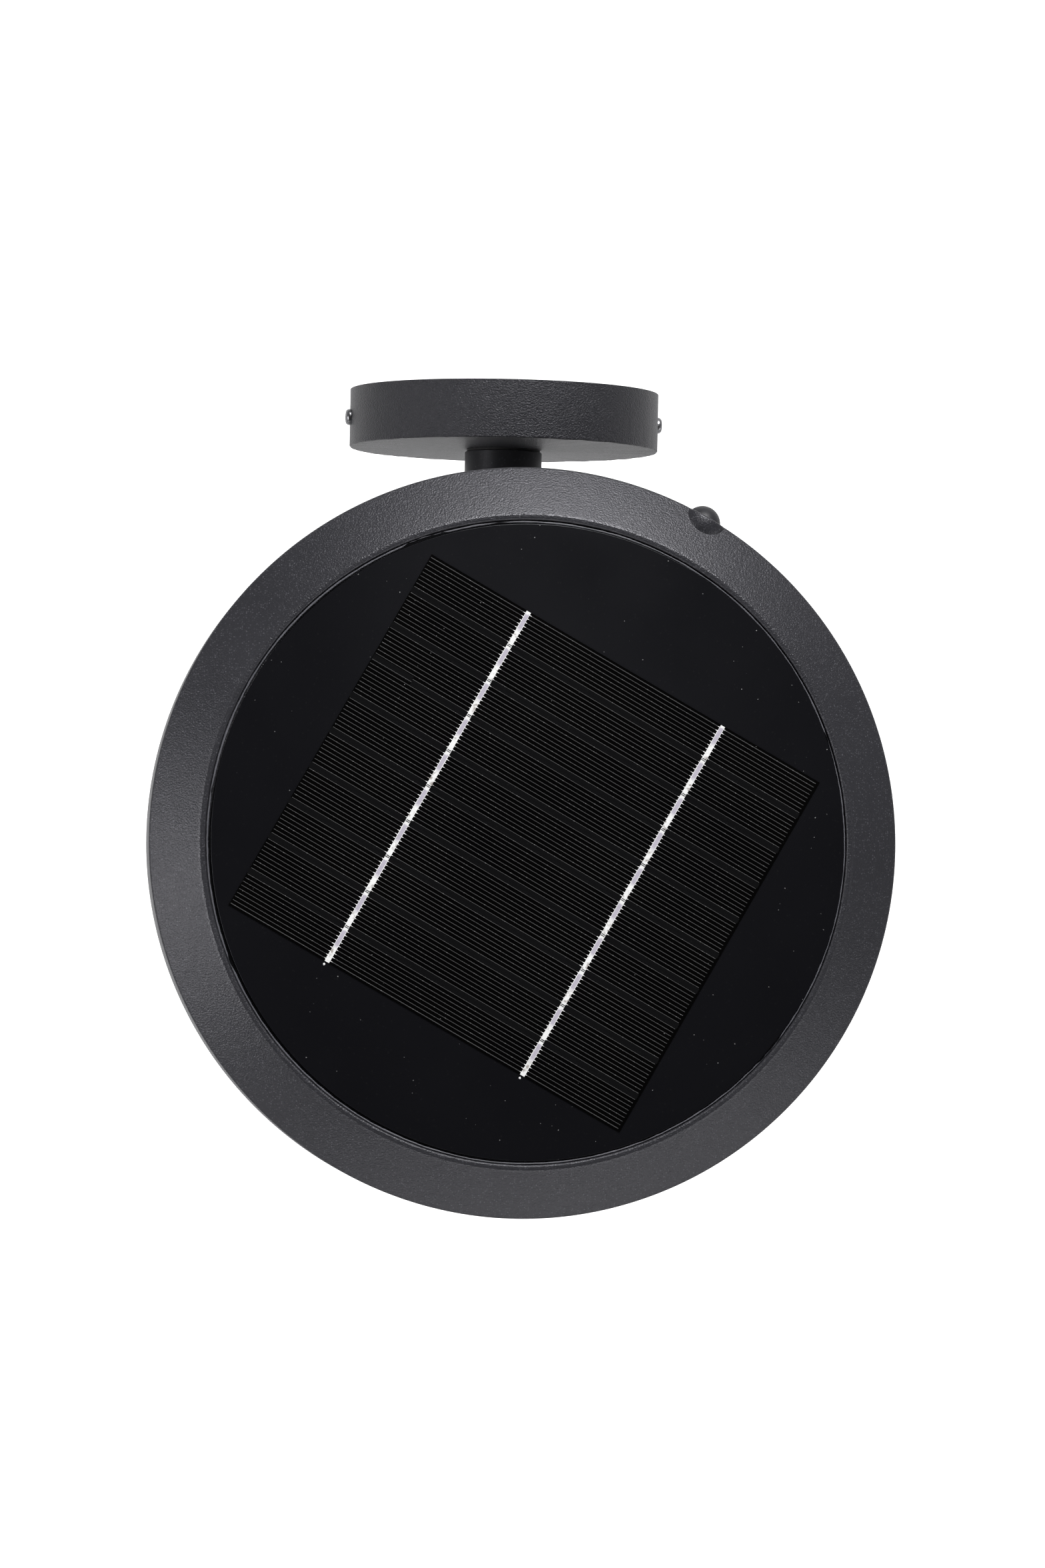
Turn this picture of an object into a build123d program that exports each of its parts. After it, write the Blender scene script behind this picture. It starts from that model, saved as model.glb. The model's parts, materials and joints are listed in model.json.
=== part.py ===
from build123d import *
import os
from math import cos, hypot, radians, sin, sqrt

# Solar wall light: a wide round hat with a solar panel in its top, a frosted light cone under it,
# a cast base cup, and one straight stem to a round wall plate.
# Millimetres. The origin is the middle of the wall plate's back, on the wall. +Z is up and the
# lamp reaches out along -Y. The stem's axis is the Y axis. Parts of the head are drawn around
# the Z axis first, with heights counted from the stem's axis, and are then moved out by head_reach.

# ---- Overall places ----
head_reach = 163.6        # wall to the hat's centre line
rim_height = 90.0         # stem axis up to the hat's widest edge

# ---- Wall plate and bracket ----
plate_radius = 55.3
plate_depth = 20.7
plate_wall = 2.0
plate_edge_round = 1.2
bracket_thickness = 2.0
bracket_height = 24.0
ear_height = 16.0
ear_gap = 0.4             # ear to the inside of the plate
ear_front_gap = 3.7       # ear to the back of the plate's front
slot_spacing = 60.0
slot_length = 16.0
slot_radius = 2.6
bracket_end_round = 4.0
side_screw_spare = 1.5    # thread past the ear

# ---- Stem ----
stem_radius = 13.8
stem_wall = 2.0
seal_thickness = 0.9
seal_inset = 0.7          # seal is this much smaller than the stem
plug_length = 12.0
wall_screw_offset = 6.0
press_gap = 0.05          # radial gap of fitted, fixed pieces

# ---- Base cup ----
base_top_radius = 56.0
base_flare = 2.5          # foot is narrower than the top by this
base_wall = 2.5
base_deck = 3.0
base_edge_round = 1.5
base_foot_round = 12.0
socket_wall = 3.2
socket_cover = 2.0        # deck above the socket
socket_clear = 5.0        # socket above the foot
socket_overhang = 6.0     # socket past the cup's side
socket_back = 4.0         # closed end behind the stem
socket_mouth_bevel = 0.8
stem_insertion = 20.0
set_screw_inset = 4.5     # socket's mouth to the set screws
set_screw_tilt = 35.0
cap_margin = 1.5          # foot's rounding to the cap
cap_thickness = 2.5
cap_gap = 0.3
cap_ledge = 10.0
cap_edge_round = 0.8
cap_screw_inset = 5.0
cap_screw_count = 3
cap_screw_start = -90.0
cap_boss_radius = 3.2
cap_boss_height = 5.0

# ---- Hat housing ----
rim_radius = 130.0
rim_round = 1.4
skirt_depth = 24.0
skirt_draft = 0.5
skirt_foot_round = 1.0
shell_wall = 2.2
collar_width = 17.1       # sloping collar, seen from above
collar_rise = 10.0
lip_width = 2.0
lip_round = 0.7
ledge_width = 8.0
rib_width = 4.6           # inner rib that the cover's gasket closes on
rib_thickness = 2.2
cover_boss_radius = 4.0
cover_screw_inset = 12.0
cover_screw_count = 6
cover_screw_bite = 10.0   # thread in the housing

# ---- Hat cover ----
cover_wall = 2.4
cover_recess = 1.0
cover_gap = 0.3
gasket_thickness = 1.5
gasket_width = 3.4
gasket_gap = 0.4
cone_collar_gap = 0.3     # raised ring around the light cone
cone_collar_wall = 2.0
cone_collar_drop = 3.0
cone_collar_round = 0.7

# ---- Light cone ----
cone_top_radius = 88.0
cone_foot_inset = 1.4     # cone's foot inside the base cup's top edge
cone_flange_reach = 3.2
cone_flange_width = 17.0
cone_flange_thickness = 3.2
cone_wall = 2.4
cone_floor = 2.4
cone_foot_round = 1.2
cone_inner_round = 1.5
cone_gasket_thickness = 1.0
cone_gasket_width = 6.5
cone_gasket_inset = 0.7
cone_screw_inset = 8.5
cone_screw_count = 6
cone_boss_radius = 3.2
cone_boss_length = 6.3
foot_screw_inset = 20.0
foot_screw_count = 3
foot_screw_start = 30.0
foot_boss_height = 7.0

# ---- Light engine ----
reflector_edge_gap = 1.7
reflector_thickness = 1.2
reflector_cone_gap = 6.0  # LED board to the middle cone
reflector_cone_drop = 30.0
reflector_tip_radius = 3.0
reflector_tip_round = 1.2
reflector_tip_hollow = 0.4
led_board_edge = 4.5
led_board_width = 22.0
led_board_thickness = 1.6
led_count = 24
led_side = 3.0
led_height = 0.8
led_screw_inset = 4.0
led_screw_count = 3
led_screw_start = 90.0
led_screw_bite = 3.0
led_boss_height = 4.6
lead_hole_radius = 2.6
lead_hole_angle = 157.0

# ---- Solar panel ----
panel_sink = 0.8          # crest of the collar down to the panel's face
panel_gap = 1.1           # sealant around the panel
panel_thickness = 2.4
panel_shift = 0.5         # the panel is bedded a little to one side of its pocket
bead_height = 0.3
cell_turn = -29.0
cell_shift_x = -0.7
cell_shift_y = -0.6
cell_margin = 5.13        # corner of the cell field to the panel's edge
strip_count = 10
strip_pitch = 14.0
strip_gap = 0.4
cell_thickness = 0.25
ribbon_spacing = 78.0
ribbon_width = 1.7
ribbon_thickness = 0.15
ribbon_overrun = 0.9      # ribbon short of the outer strips' edges

# ---- Push button ----
button_angle = 61.3       # round the hat from +X
button_drop = 5.0         # rim plane down to the button's axis
button_barrel_wall = 1.5
button_hood_radius = 9.1
button_hood_inset = 2.9     # rim to the hood's centre
button_hood_round = 0.8
button_face_inset = 0.3     # rim to the flat round the button
button_front_wall = 4.0
button_cap_radius = 6.2
button_cap_inset = 2.3    # rim to the dome's centre
button_cap_wall = 1.6
button_gap = 0.25
button_flange_width = 0.9
button_flange_thickness = 1.0
button_chamber_gap = 0.3
button_rest_gap = 0.05
button_travel = 1.0
button_post_radius = 2.2
button_post_length = 3.0
retainer_wall = 1.9
retainer_gap = 0.1
retainer_round = 0.4
plunger_radius = 1.75
plunger_gap = 0.05
plunger_spare = 0.3
switch_side = 7.0
switch_depth = 4.35
switch_clear = 0.5        # plunger's post to the switch, past its travel
switch_corner_round = 0.8
switch_board_length = 30.0
switch_board_height = 13.0
switch_board_thickness = 1.2
switch_post_inset = 3.5
switch_post_radius = 2.8
switch_post_depth = 7.0   # thread in the post
switch_screw_bite = 5.0

# ---- Battery ----
battery_radius = 9.2
battery_length = 65.0
battery_gap = 0.8
battery_place_y = -32.0
battery_end_round = 0.8
battery_pip_radius = 4.0
battery_pip_height = 1.2
tray_floor = 1.6
tray_wall = 1.6
tray_height = 9.0
tray_end_gap = 2.0
tray_side_gap = 0.3
tray_corner_round = 2.0
tab_thickness = 0.4
tab_width = 8.0
strap_width = 12.0
strap_thickness = 1.6
strap_foot = 9.0
strap_gap = 0.4
strap_side_gap = 0.3
strap_screw_spare = 2.0

# ---- Control board ----
board_length = 64.0
board_width = 40.0
board_thickness = 1.6
board_place_y = 42.0
board_lift = 6.0
board_post_radius = 3.2
board_post_inset = 4.0
inductor_radius = 5.0
inductor_height = 5.0
inductor_place = (-14.0, 4.0)
capacitor_radius = 4.0
capacitor_height = 10.0
capacitor_place = (16.0, 0.0)
controller_side = 7.0
controller_height = 1.2
controller_place = (2.0, 8.0)
charger_side = 5.0
charger_height = 1.6
charger_place = (0.0, -4.0)
plug_side = 6.0
plug_height = 5.8
plug_inset = 1.0
plug_spacing = 20.0

# ---- Screws: shank radius, head radius, head height ----
screw_gap = 0.15
screw_m3 = (1.4, 2.9, 1.8)
screw_m4 = (1.9, 3.8, 2.5)
head_side_share = 0.4     # upright part of the head's side, of its height
head_top_share = 0.7      # flat top of the head, of its radius
pilot_depth_spare = 1.0
grub_radius = 1.9

# ---- Inner leads ----
lead_radius = 1.2
lead_bend = 3.0
panel_lead_bend = 2.0
switch_lead_bend = 1.0
lead_rise = 4.5           # above the plugs
lead_step = 1.0           # one lead passes above another
panel_lead_place = 4.0
switch_lead_gap = 7.0

# ---- Worked out from the above ----
crest_z = rim_height + collar_rise
lip_radius = rim_radius - collar_width
pocket_radius = lip_radius - lip_width
panel_radius = pocket_radius - panel_gap
panel_face_z = crest_z - panel_sink
panel_back_z = panel_face_z - panel_thickness
skirt_foot_z = rim_height - skirt_depth
cover_under_z = skirt_foot_z + cover_recess
cover_top_z = cover_under_z + cover_wall
skirt_inner_radius = rim_radius - skirt_draft - shell_wall
cover_radius = skirt_inner_radius - cover_gap
cover_screw_circle = rim_radius - cover_screw_inset

base_foot_radius = base_top_radius - base_flare
base_top = stem_radius + socket_wall + socket_cover
base_foot = -(stem_radius + socket_wall + socket_clear)
socket_reach = base_top_radius + socket_overhang
socket_stop = socket_reach - stem_insertion
cap_radius = base_foot_radius - base_foot_round - cap_margin
cap_screw_circle = cap_radius - cap_screw_inset
stem_end_y = socket_stop - head_reach
stem_start_y = -(plate_depth + seal_thickness)

cone_foot_radius = base_top_radius - cone_foot_inset
cone_flange_radius = cone_top_radius + cone_flange_reach
cone_screw_circle = cone_top_radius - cone_screw_inset
foot_screw_circle = base_top_radius - foot_screw_inset
flange_top_z = cover_under_z - cone_gasket_thickness
flange_under_z = flange_top_z - cone_flange_thickness
cone_collar_inner = cone_flange_radius + cone_collar_gap

reflector_radius = cone_flange_radius - cone_flange_width - reflector_edge_gap
led_board_outer = reflector_radius - led_board_edge
led_board_inner = led_board_outer - led_board_width
led_circle = (led_board_outer + led_board_inner) / 2
led_screw_circle = led_board_outer - led_screw_inset
reflector_cone_radius = led_board_inner - reflector_cone_gap
reflector_under_z = cover_under_z - reflector_thickness
led_board_under_z = reflector_under_z - led_board_thickness

strip_field = strip_count * strip_pitch - strip_gap
strip_length = 2 * sqrt((panel_radius - cell_margin) ** 2 - (strip_field / 2) ** 2)

button_z = rim_height - button_drop
button_flange_radius = button_cap_radius + button_flange_width
chamber_radius = button_flange_radius + button_chamber_gap
button_barrel_radius = chamber_radius + button_barrel_wall
boss_face = rim_radius - button_face_inset
hood_centre = rim_radius - button_hood_inset
front_wall_back = boss_face - button_front_wall
flange_front = front_wall_back - button_rest_gap
flange_back = flange_front - button_flange_thickness
post_back = flange_back - button_post_length
switch_front = post_back - button_travel - switch_clear
switch_board_front = switch_front - switch_depth
switch_board_back = switch_board_front - switch_board_thickness
switch_post_place = switch_board_length / 2 - switch_post_inset
button_cap_centre = rim_radius - button_cap_inset

battery_spacing = 2 * battery_radius + battery_gap
board_under_z = cover_top_z + board_lift
board_top_z = board_under_z + board_thickness


on_base = (Align.CENTER, Align.CENTER, Align.MIN)


def ring(corners, rounds=()):
    """Body turned about Z from (radius, height) corners; rounds lists (corner number, radius)."""
    outline = make_face(Polyline(*corners, close=True))
    for number, radius in rounds:
        corner = outline.vertices().sort_by_distance(Vector(*corners[number], 0))[0]
        outline = fillet(corner, radius)
    return revolve(Plane.XZ * outline, Axis.Z)


def disc(radius, low, high):
    """Round plate about Z between two heights."""
    return Pos(0, 0, low) * Cylinder(radius, high - low, align=on_base)


def block(size_x, size_y, low, high):
    """Box centred on Z between two heights."""
    return Pos(0, 0, low) * Box(size_x, size_y, high - low, align=on_base)


def around(shape, circle, count, start=0.0):
    """Copies of a shape spaced evenly round a circle."""
    return [place * shape for place in PolarLocations(circle, count, start)]


def group(shapes):
    """Several separate solids kept as one node."""
    return Compound([solid for shape in shapes for solid in shape.solids()])


def pan_screw(size, length):
    """Pan-head screw: head stands on z = 0, shank hangs below it."""
    shank_radius, head_radius, head_height = size
    corners = [(0, -length), (shank_radius, -length), (shank_radius, 0), (head_radius, 0),
               (head_radius, head_height * head_side_share),
               (head_radius * head_top_share, head_height), (0, head_height)]
    return ring(corners)


def screw_hole(size, low, high):
    """Hole for a screw's shank, about Z between two heights."""
    return disc(size[0] + screw_gap, low, high)


def holes_around(size, low, high, circle, count, start=0.0):
    """Screw holes spaced evenly round a circle, as one cutter."""
    return Part() + around(screw_hole(size, low, high), circle, count, start)


def head_place(shape):
    """Move a part of the head from the Z axis to its place in front of the wall."""
    return Pos(0, -head_reach, 0) * shape


def head_group(shapes):
    """Several solids of the head, each moved to its place, kept as one node."""
    return group([head_place(shape) for shape in shapes])


def along_stem(shape):
    """Turn a part drawn about Z so that its +Z points at the wall, along +Y."""
    return Rot(-90, 0, 0) * shape


def button_place(shape):
    """Turn a part drawn about Z so that its +Z points outwards along the button's axis."""
    return Rot(0, 0, button_angle) * Pos(0, 0, button_z) * Rot(0, 90, 0) * shape


parts = {}


def add(name, shape):
    """Keep a part under its node name."""
    parts[name] = shape


# ---------------------------------------------------------------- wall bracket
plate_inner_radius = plate_radius - plate_wall
bracket_ear_face = sqrt(plate_inner_radius ** 2 - (ear_height / 2) ** 2) - ear_gap
ear_reach = plate_depth - plate_wall - ear_front_gap
side_screw_depth = plate_depth / 2


def make_wall_bracket():
    strap = Pos(0, -bracket_thickness / 2, 0) * Box(2 * bracket_ear_face, bracket_thickness, bracket_height)
    strap = fillet(strap.edges().filter_by(Axis.Y), bracket_end_round)
    shape = strap
    for side in (-1, 1):
        ear = Pos(side * (bracket_ear_face - bracket_thickness / 2), -ear_reach / 2, 0)
        shape += ear * Box(bracket_thickness, ear_reach, ear_height)
        slot = SlotOverall(slot_length, 2 * slot_radius)
        cut = extrude(Plane.XZ * slot, bracket_thickness, both=True)
        shape -= Pos(side * slot_spacing / 2, 0, 0) * cut
        hole = Pos(side * bracket_ear_face, -side_screw_depth, 0) * Rot(0, 90, 0)
        shape -= hole * Cylinder(screw_m3[0] + screw_gap, 4 * bracket_thickness)
    return shape


add("wall_bracket", make_wall_bracket())


# ---------------------------------------------------------------- wall plate
def make_wall_plate():
    front_back = plate_depth - plate_wall
    corners = [(0, plate_depth), (0, front_back), (plate_inner_radius, front_back),
               (plate_inner_radius, 0), (plate_radius, 0), (plate_radius, plate_depth)]
    shape = ring(corners, [(5, plate_edge_round), (2, plate_edge_round / 2)])
    for side in (-1, 1):
        shape -= Pos(side * wall_screw_offset, 0, 0) * screw_hole(screw_m4, 0, plate_depth)
        hole = Pos(side * plate_radius, 0, side_screw_depth) * Rot(0, 90, 0)
        shape -= hole * Cylinder(screw_m3[0] + 2 * screw_gap, 3 * plate_wall)
    return Rot(90, 0, 0) * shape


add("wall_plate", make_wall_plate())

side_screw_length = plate_radius - bracket_ear_face + bracket_thickness + side_screw_spare
side_screws = []
for side in (-1, 1):
    turn = Pos(side * plate_radius, -side_screw_depth, 0) * Rot(0, side * 90, 0)
    side_screws.append(turn * pan_screw(screw_m3, side_screw_length))
add("plate_side_screws", group(side_screws))


# ---------------------------------------------------------------- stem
stem_length = stem_start_y - stem_end_y
stem_bore = stem_radius - stem_wall
tube = ring([(stem_bore, 0), (stem_radius, 0), (stem_radius, stem_length), (stem_bore, stem_length)])
add("stem_tube", Pos(0, stem_end_y, 0) * along_stem(tube))

plug = disc(stem_bore - press_gap, 0, plug_length)
seal = disc(stem_radius - seal_inset, 0, seal_thickness)
for side in (-1, 1):
    plug -= Pos(side * wall_screw_offset, 0, 0) * screw_hole(screw_m4, 0, plug_length)
    seal -= Pos(side * wall_screw_offset, 0, 0) * screw_hole(screw_m4, 0, seal_thickness)
add("stem_plug", Pos(0, stem_start_y - plug_length, 0) * along_stem(plug))
add("stem_seal", Pos(0, -plate_depth - seal_thickness, 0) * along_stem(seal))

wall_screw = pan_screw(screw_m4, plate_wall + seal_thickness + plug_length - pilot_depth_spare)
wall_screws = []
for side in (-1, 1):
    seat = Pos(side * wall_screw_offset, plate_wall - plate_depth, 0)
    wall_screws.append(seat * along_stem(wall_screw))
add("stem_wall_screws", group(wall_screws))


# ---------------------------------------------------------------- base cup
def base_side_radius(height):
    """Outer radius of the base cup's tapered side at a height."""
    share = (height - base_foot) / (base_top - base_foot)
    return base_foot_radius + share * (base_top_radius - base_foot_radius)


cap_recess_radius = cap_radius + cap_gap
cap_seat_z = base_foot + cap_thickness
ledge_top_z = cap_seat_z + base_wall
deck_under_z = base_top - base_deck


set_screw_place = socket_reach - set_screw_inset
set_screw_turns = [Pos(0, set_screw_place, 0) * Rot(0, side * set_screw_tilt, 0) for side in (-1, 1)]


def make_base_cup():
    opening = cap_recess_radius - cap_ledge
    corners = [(cap_recess_radius, base_foot), (base_foot_radius, base_foot), (base_top_radius, base_top),
               (0, base_top), (0, deck_under_z),
               (base_side_radius(deck_under_z) - base_wall, deck_under_z),
               (base_side_radius(ledge_top_z) - base_wall, ledge_top_z),
               (opening, ledge_top_z), (opening, cap_seat_z), (cap_recess_radius, cap_seat_z)]
    inner_round = base_foot_round - base_wall - cap_thickness
    shape = ring(corners, [(1, base_foot_round), (2, base_edge_round), (6, inner_round)])
    socket_radius = stem_radius + socket_wall
    socket_start = socket_stop - socket_back
    socket = disc(socket_radius, 0, socket_reach - socket_start)
    socket = chamfer(socket.edges().sort_by(Axis.Z)[-1], socket_mouth_bevel)
    shape += Pos(0, socket_start, 0) * along_stem(socket)
    bore = disc(stem_radius + press_gap, 0, socket_reach)
    shape -= Pos(0, socket_stop, 0) * along_stem(bore)
    cap_boss = disc(cap_boss_radius, cap_seat_z, ledge_top_z + cap_boss_height)
    for boss in around(cap_boss, cap_screw_circle, cap_screw_count, cap_screw_start):
        shape += boss
    cap_screws = (cap_screw_circle, cap_screw_count, cap_screw_start)
    shape -= holes_around(screw_m3, base_foot, ledge_top_z + cap_boss_height, *cap_screws)
    foot_screws = (foot_screw_circle, foot_screw_count, foot_screw_start)
    shape -= holes_around(screw_m3, deck_under_z, base_top, *foot_screws)
    for turn in set_screw_turns:
        shape -= turn * disc(grub_radius + screw_gap, -2 * stem_radius, 0)
    return shape


add("base_cup", head_place(make_base_cup()))

cap_corners = [(0, base_foot), (cap_radius, base_foot), (cap_radius, cap_seat_z), (0, cap_seat_z)]
cap = ring(cap_corners, [(1, cap_edge_round)])
cap_screws = []
for spot in PolarLocations(cap_screw_circle, cap_screw_count, cap_screw_start):
    cap -= spot * screw_hole(screw_m3, base_foot, cap_seat_z)
    screw_length = cap_thickness + base_wall + cap_boss_height - pilot_depth_spare
    screw = Pos(0, 0, base_foot) * Rot(180, 0, 0) * pan_screw(screw_m3, screw_length)
    cap_screws.append(spot * screw)
add("base_cap", head_place(cap))
add("base_cap_screws", head_group(cap_screws))

grub = disc(grub_radius, -stem_radius - socket_wall, -stem_radius)
add("stem_set_screws", head_group([turn * grub for turn in set_screw_turns]))


# ---------------------------------------------------------------- light cone
cone_foot_z = base_top
cone_floor_z = cone_foot_z + cone_floor
cone_slope = (cone_top_radius - cone_foot_radius) / (flange_under_z - cone_foot_z)
cone_wall_across = cone_wall * hypot(1, cone_slope)


def cone_radius(height):
    """Outer radius of the light cone at a height."""
    return cone_foot_radius + (height - cone_foot_z) * cone_slope


def make_diffuser():
    flange_inner = cone_flange_radius - cone_flange_width
    corners = [(0, cone_foot_z), (cone_foot_radius, cone_foot_z), (cone_top_radius, flange_under_z),
               (cone_flange_radius, flange_under_z), (cone_flange_radius, flange_top_z),
               (flange_inner, flange_top_z), (flange_inner, flange_under_z),
               (cone_radius(flange_under_z) - cone_wall_across, flange_under_z),
               (cone_radius(cone_floor_z) - cone_wall_across, cone_floor_z), (0, cone_floor_z)]
    shape = ring(corners, [(1, cone_foot_round), (8, cone_inner_round)])
    envelope = ring([(0, cone_foot_z), (cone_foot_radius, cone_foot_z), (cone_top_radius, flange_under_z),
                     (cone_top_radius, flange_top_z), (0, flange_top_z)])
    boss = disc(cone_boss_radius, flange_under_z - cone_boss_length, flange_top_z)
    for copy in around(boss, cone_screw_circle, cone_screw_count):
        shape += copy & envelope
    hole_low = flange_under_z - cone_boss_length + pilot_depth_spare
    shape -= holes_around(screw_m3, hole_low, flange_top_z, cone_screw_circle, cone_screw_count)
    foot_boss = disc(cone_boss_radius, cone_foot_z, cone_foot_z + foot_boss_height)
    foot_hole = screw_hole(screw_m3, cone_foot_z, cone_foot_z + foot_boss_height - pilot_depth_spare)
    for spot in PolarLocations(foot_screw_circle, foot_screw_count, foot_screw_start):
        shape += spot * foot_boss
        shape -= spot * foot_hole
    return shape


add("diffuser", head_place(make_diffuser()))

foot_screw_length = base_deck + foot_boss_height - 2 * pilot_depth_spare
foot_screw = Pos(0, 0, deck_under_z) * Rot(180, 0, 0) * pan_screw(screw_m3, foot_screw_length)
foot_screws = around(foot_screw, foot_screw_circle, foot_screw_count, foot_screw_start)
add("diffuser_base_screws", head_group(foot_screws))

gasket_outer = cone_flange_radius - cone_gasket_inset
gasket_inner = gasket_outer - cone_gasket_width
cone_gasket = ring([(gasket_inner, flange_top_z), (gasket_outer, flange_top_z),
                    (gasket_outer, cover_under_z), (gasket_inner, cover_under_z)])
add("diffuser_gasket", head_place(cone_gasket))

cone_stack = cover_wall + cone_gasket_thickness + cone_flange_thickness + cone_boss_length
cone_screw_length = cone_stack - 2 * pilot_depth_spare
cone_screw = Pos(0, 0, cover_top_z) * pan_screw(screw_m3, cone_screw_length)
add("diffuser_screws", head_group(around(cone_screw, cone_screw_circle, cone_screw_count)))


# ---------------------------------------------------------------- hat housing
collar_slope = collar_rise / collar_width
inset_across = shell_wall * hypot(1, collar_slope)


def under_collar(radius):
    """Height of the collar's inner face at a radius."""
    return rim_height + (rim_radius - radius) * collar_slope - inset_across


ledge_under_z = panel_back_z - shell_wall
ledge_inner = pocket_radius - ledge_width
rib_under_z = cover_top_z + gasket_thickness
rib_top_z = rib_under_z + rib_thickness
rib_inner = skirt_inner_radius - rib_width
cover_screw_start = button_angle + 180 / cover_screw_count
cover_screws_at = (cover_screw_circle, cover_screw_count, cover_screw_start)


def make_hat_envelope():
    """The housing's outside as a solid, to trim what stands inside it."""
    return ring([(0, skirt_foot_z), (rim_radius - skirt_draft, skirt_foot_z), (rim_radius, rim_height),
                 (lip_radius, crest_z), (0, crest_z)], [(2, rim_round)])


def make_hat_shell():
    meet_radius = rim_radius - (ledge_under_z - rim_height + inset_across) / collar_slope
    corners = [(rim_radius - skirt_draft, skirt_foot_z), (rim_radius, rim_height), (lip_radius, crest_z),
               (pocket_radius, crest_z), (pocket_radius, panel_back_z), (ledge_inner, panel_back_z),
               (ledge_inner, ledge_under_z), (meet_radius, ledge_under_z),
               (skirt_inner_radius, under_collar(skirt_inner_radius)), (skirt_inner_radius, rib_top_z),
               (rib_inner, rib_top_z), (rib_inner, rib_under_z), (skirt_inner_radius, rib_under_z),
               (skirt_inner_radius, skirt_foot_z)]
    rounds = [(0, skirt_foot_round), (1, rim_round), (2, lip_round), (3, lip_round)]
    return ring(corners, rounds)


def make_button_hood():
    """Ball-shaped hood over the button, cut flat on its outer side; drawn about Z."""
    shape = Pos(0, 0, hood_centre) * Sphere(button_hood_radius)
    shape &= disc(2 * button_hood_radius, hood_centre - 2 * button_hood_radius, boss_face)
    return fillet(shape.edges().sort_by(Axis.Z)[-1], button_hood_round)


def make_hat_housing():
    shape = make_hat_shell()
    envelope = make_hat_envelope()
    boss = disc(cover_boss_radius, cover_top_z, crest_z)
    for copy in around(boss, cover_screw_circle, cover_screw_count, cover_screw_start):
        shape += copy & envelope - disc(pocket_radius, panel_back_z, crest_z)
    shape -= holes_around(screw_m3, cover_top_z, rim_height, *cover_screws_at)
    shape += button_place(disc(button_barrel_radius, switch_board_front, hood_centre)) & envelope
    shape += button_place(make_button_hood())
    shape -= button_place(disc(2 * button_hood_radius, boss_face, rim_radius + button_face_inset))
    for side in (-1, 1):
        spot = Pos(0, side * switch_post_place, 0)
        post = disc(switch_post_radius, switch_board_front, rim_radius)
        shape += button_place(spot * post) & envelope
        pilot = screw_hole(screw_m3, switch_board_front, switch_board_front + switch_post_depth)
        shape -= button_place(spot * pilot)
    shape -= button_place(disc(button_cap_radius + button_gap, switch_board_front, boss_face))
    shape -= button_place(disc(chamber_radius, switch_board_front, front_wall_back))
    return shape


add("hat_housing", head_place(make_hat_housing()))


# ---------------------------------------------------------------- hat cover
strap_reach = battery_spacing + 2 * battery_radius + 2 * tray_wall
board_posts = [(x * (board_length / 2 - board_post_inset), y * (board_width / 2 - board_post_inset))
               for x in (-1, 1) for y in (-1, 1)]
strap_post_y = strap_reach / 2 + strap_foot / 2
led_screws_at = (led_screw_circle, led_screw_count, led_screw_start)
lead_hole_circle = (led_board_inner + led_circle) / 2
lead_hole_place = Rot(0, 0, lead_hole_angle) * Pos(lead_hole_circle, 0, 0)


def make_hat_cover():
    shape = disc(cover_radius, cover_under_z, cover_top_z)
    low = cover_under_z - cone_collar_drop
    outer = cone_collar_inner + cone_collar_wall
    collar = [(cone_collar_inner, low), (outer, low), (outer, cover_under_z),
              (cone_collar_inner, cover_under_z)]
    shape += ring(collar, [(1, cone_collar_round)])
    for x, y in board_posts:
        spot = Pos(x, board_place_y + y, 0)
        shape += spot * disc(board_post_radius, cover_top_z, board_under_z)
        shape -= spot * screw_hole(screw_m3, cover_top_z, board_under_z)
    for side in (-1, 1):
        spot = Pos(0, battery_place_y + side * strap_post_y, 0)
        shape += spot * disc(board_post_radius, cover_top_z, cover_top_z + tray_height)
        shape -= spot * screw_hole(screw_m3, cover_top_z, cover_top_z + tray_height)
    boss = disc(board_post_radius, cover_top_z, cover_top_z + led_boss_height)
    pilot = screw_hole(screw_m3, cover_under_z, cover_top_z + led_boss_height - pilot_depth_spare)
    for spot in PolarLocations(*led_screws_at):
        shape += spot * boss
        shape -= spot * pilot
    shape -= holes_around(screw_m3, low, cover_top_z, cone_screw_circle, cone_screw_count)
    shape -= holes_around(screw_m3, low, cover_top_z, *cover_screws_at)
    return shape - lead_hole_place * disc(lead_hole_radius, low, cover_top_z)


add("hat_cover", head_place(make_hat_cover()))

gasket_outer_radius = skirt_inner_radius - gasket_gap
gasket_inner_radius = gasket_outer_radius - gasket_width
cover_gasket = ring([(gasket_inner_radius, cover_top_z), (gasket_outer_radius, cover_top_z),
                     (gasket_outer_radius, rib_under_z), (gasket_inner_radius, rib_under_z)])
add("cover_gasket", head_place(cover_gasket))

cover_screw = Pos(0, 0, cover_under_z) * Rot(180, 0, 0) * pan_screw(screw_m3, cover_wall + cover_screw_bite)
add("hat_cover_screws", head_group(around(cover_screw, *cover_screws_at)))


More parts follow.
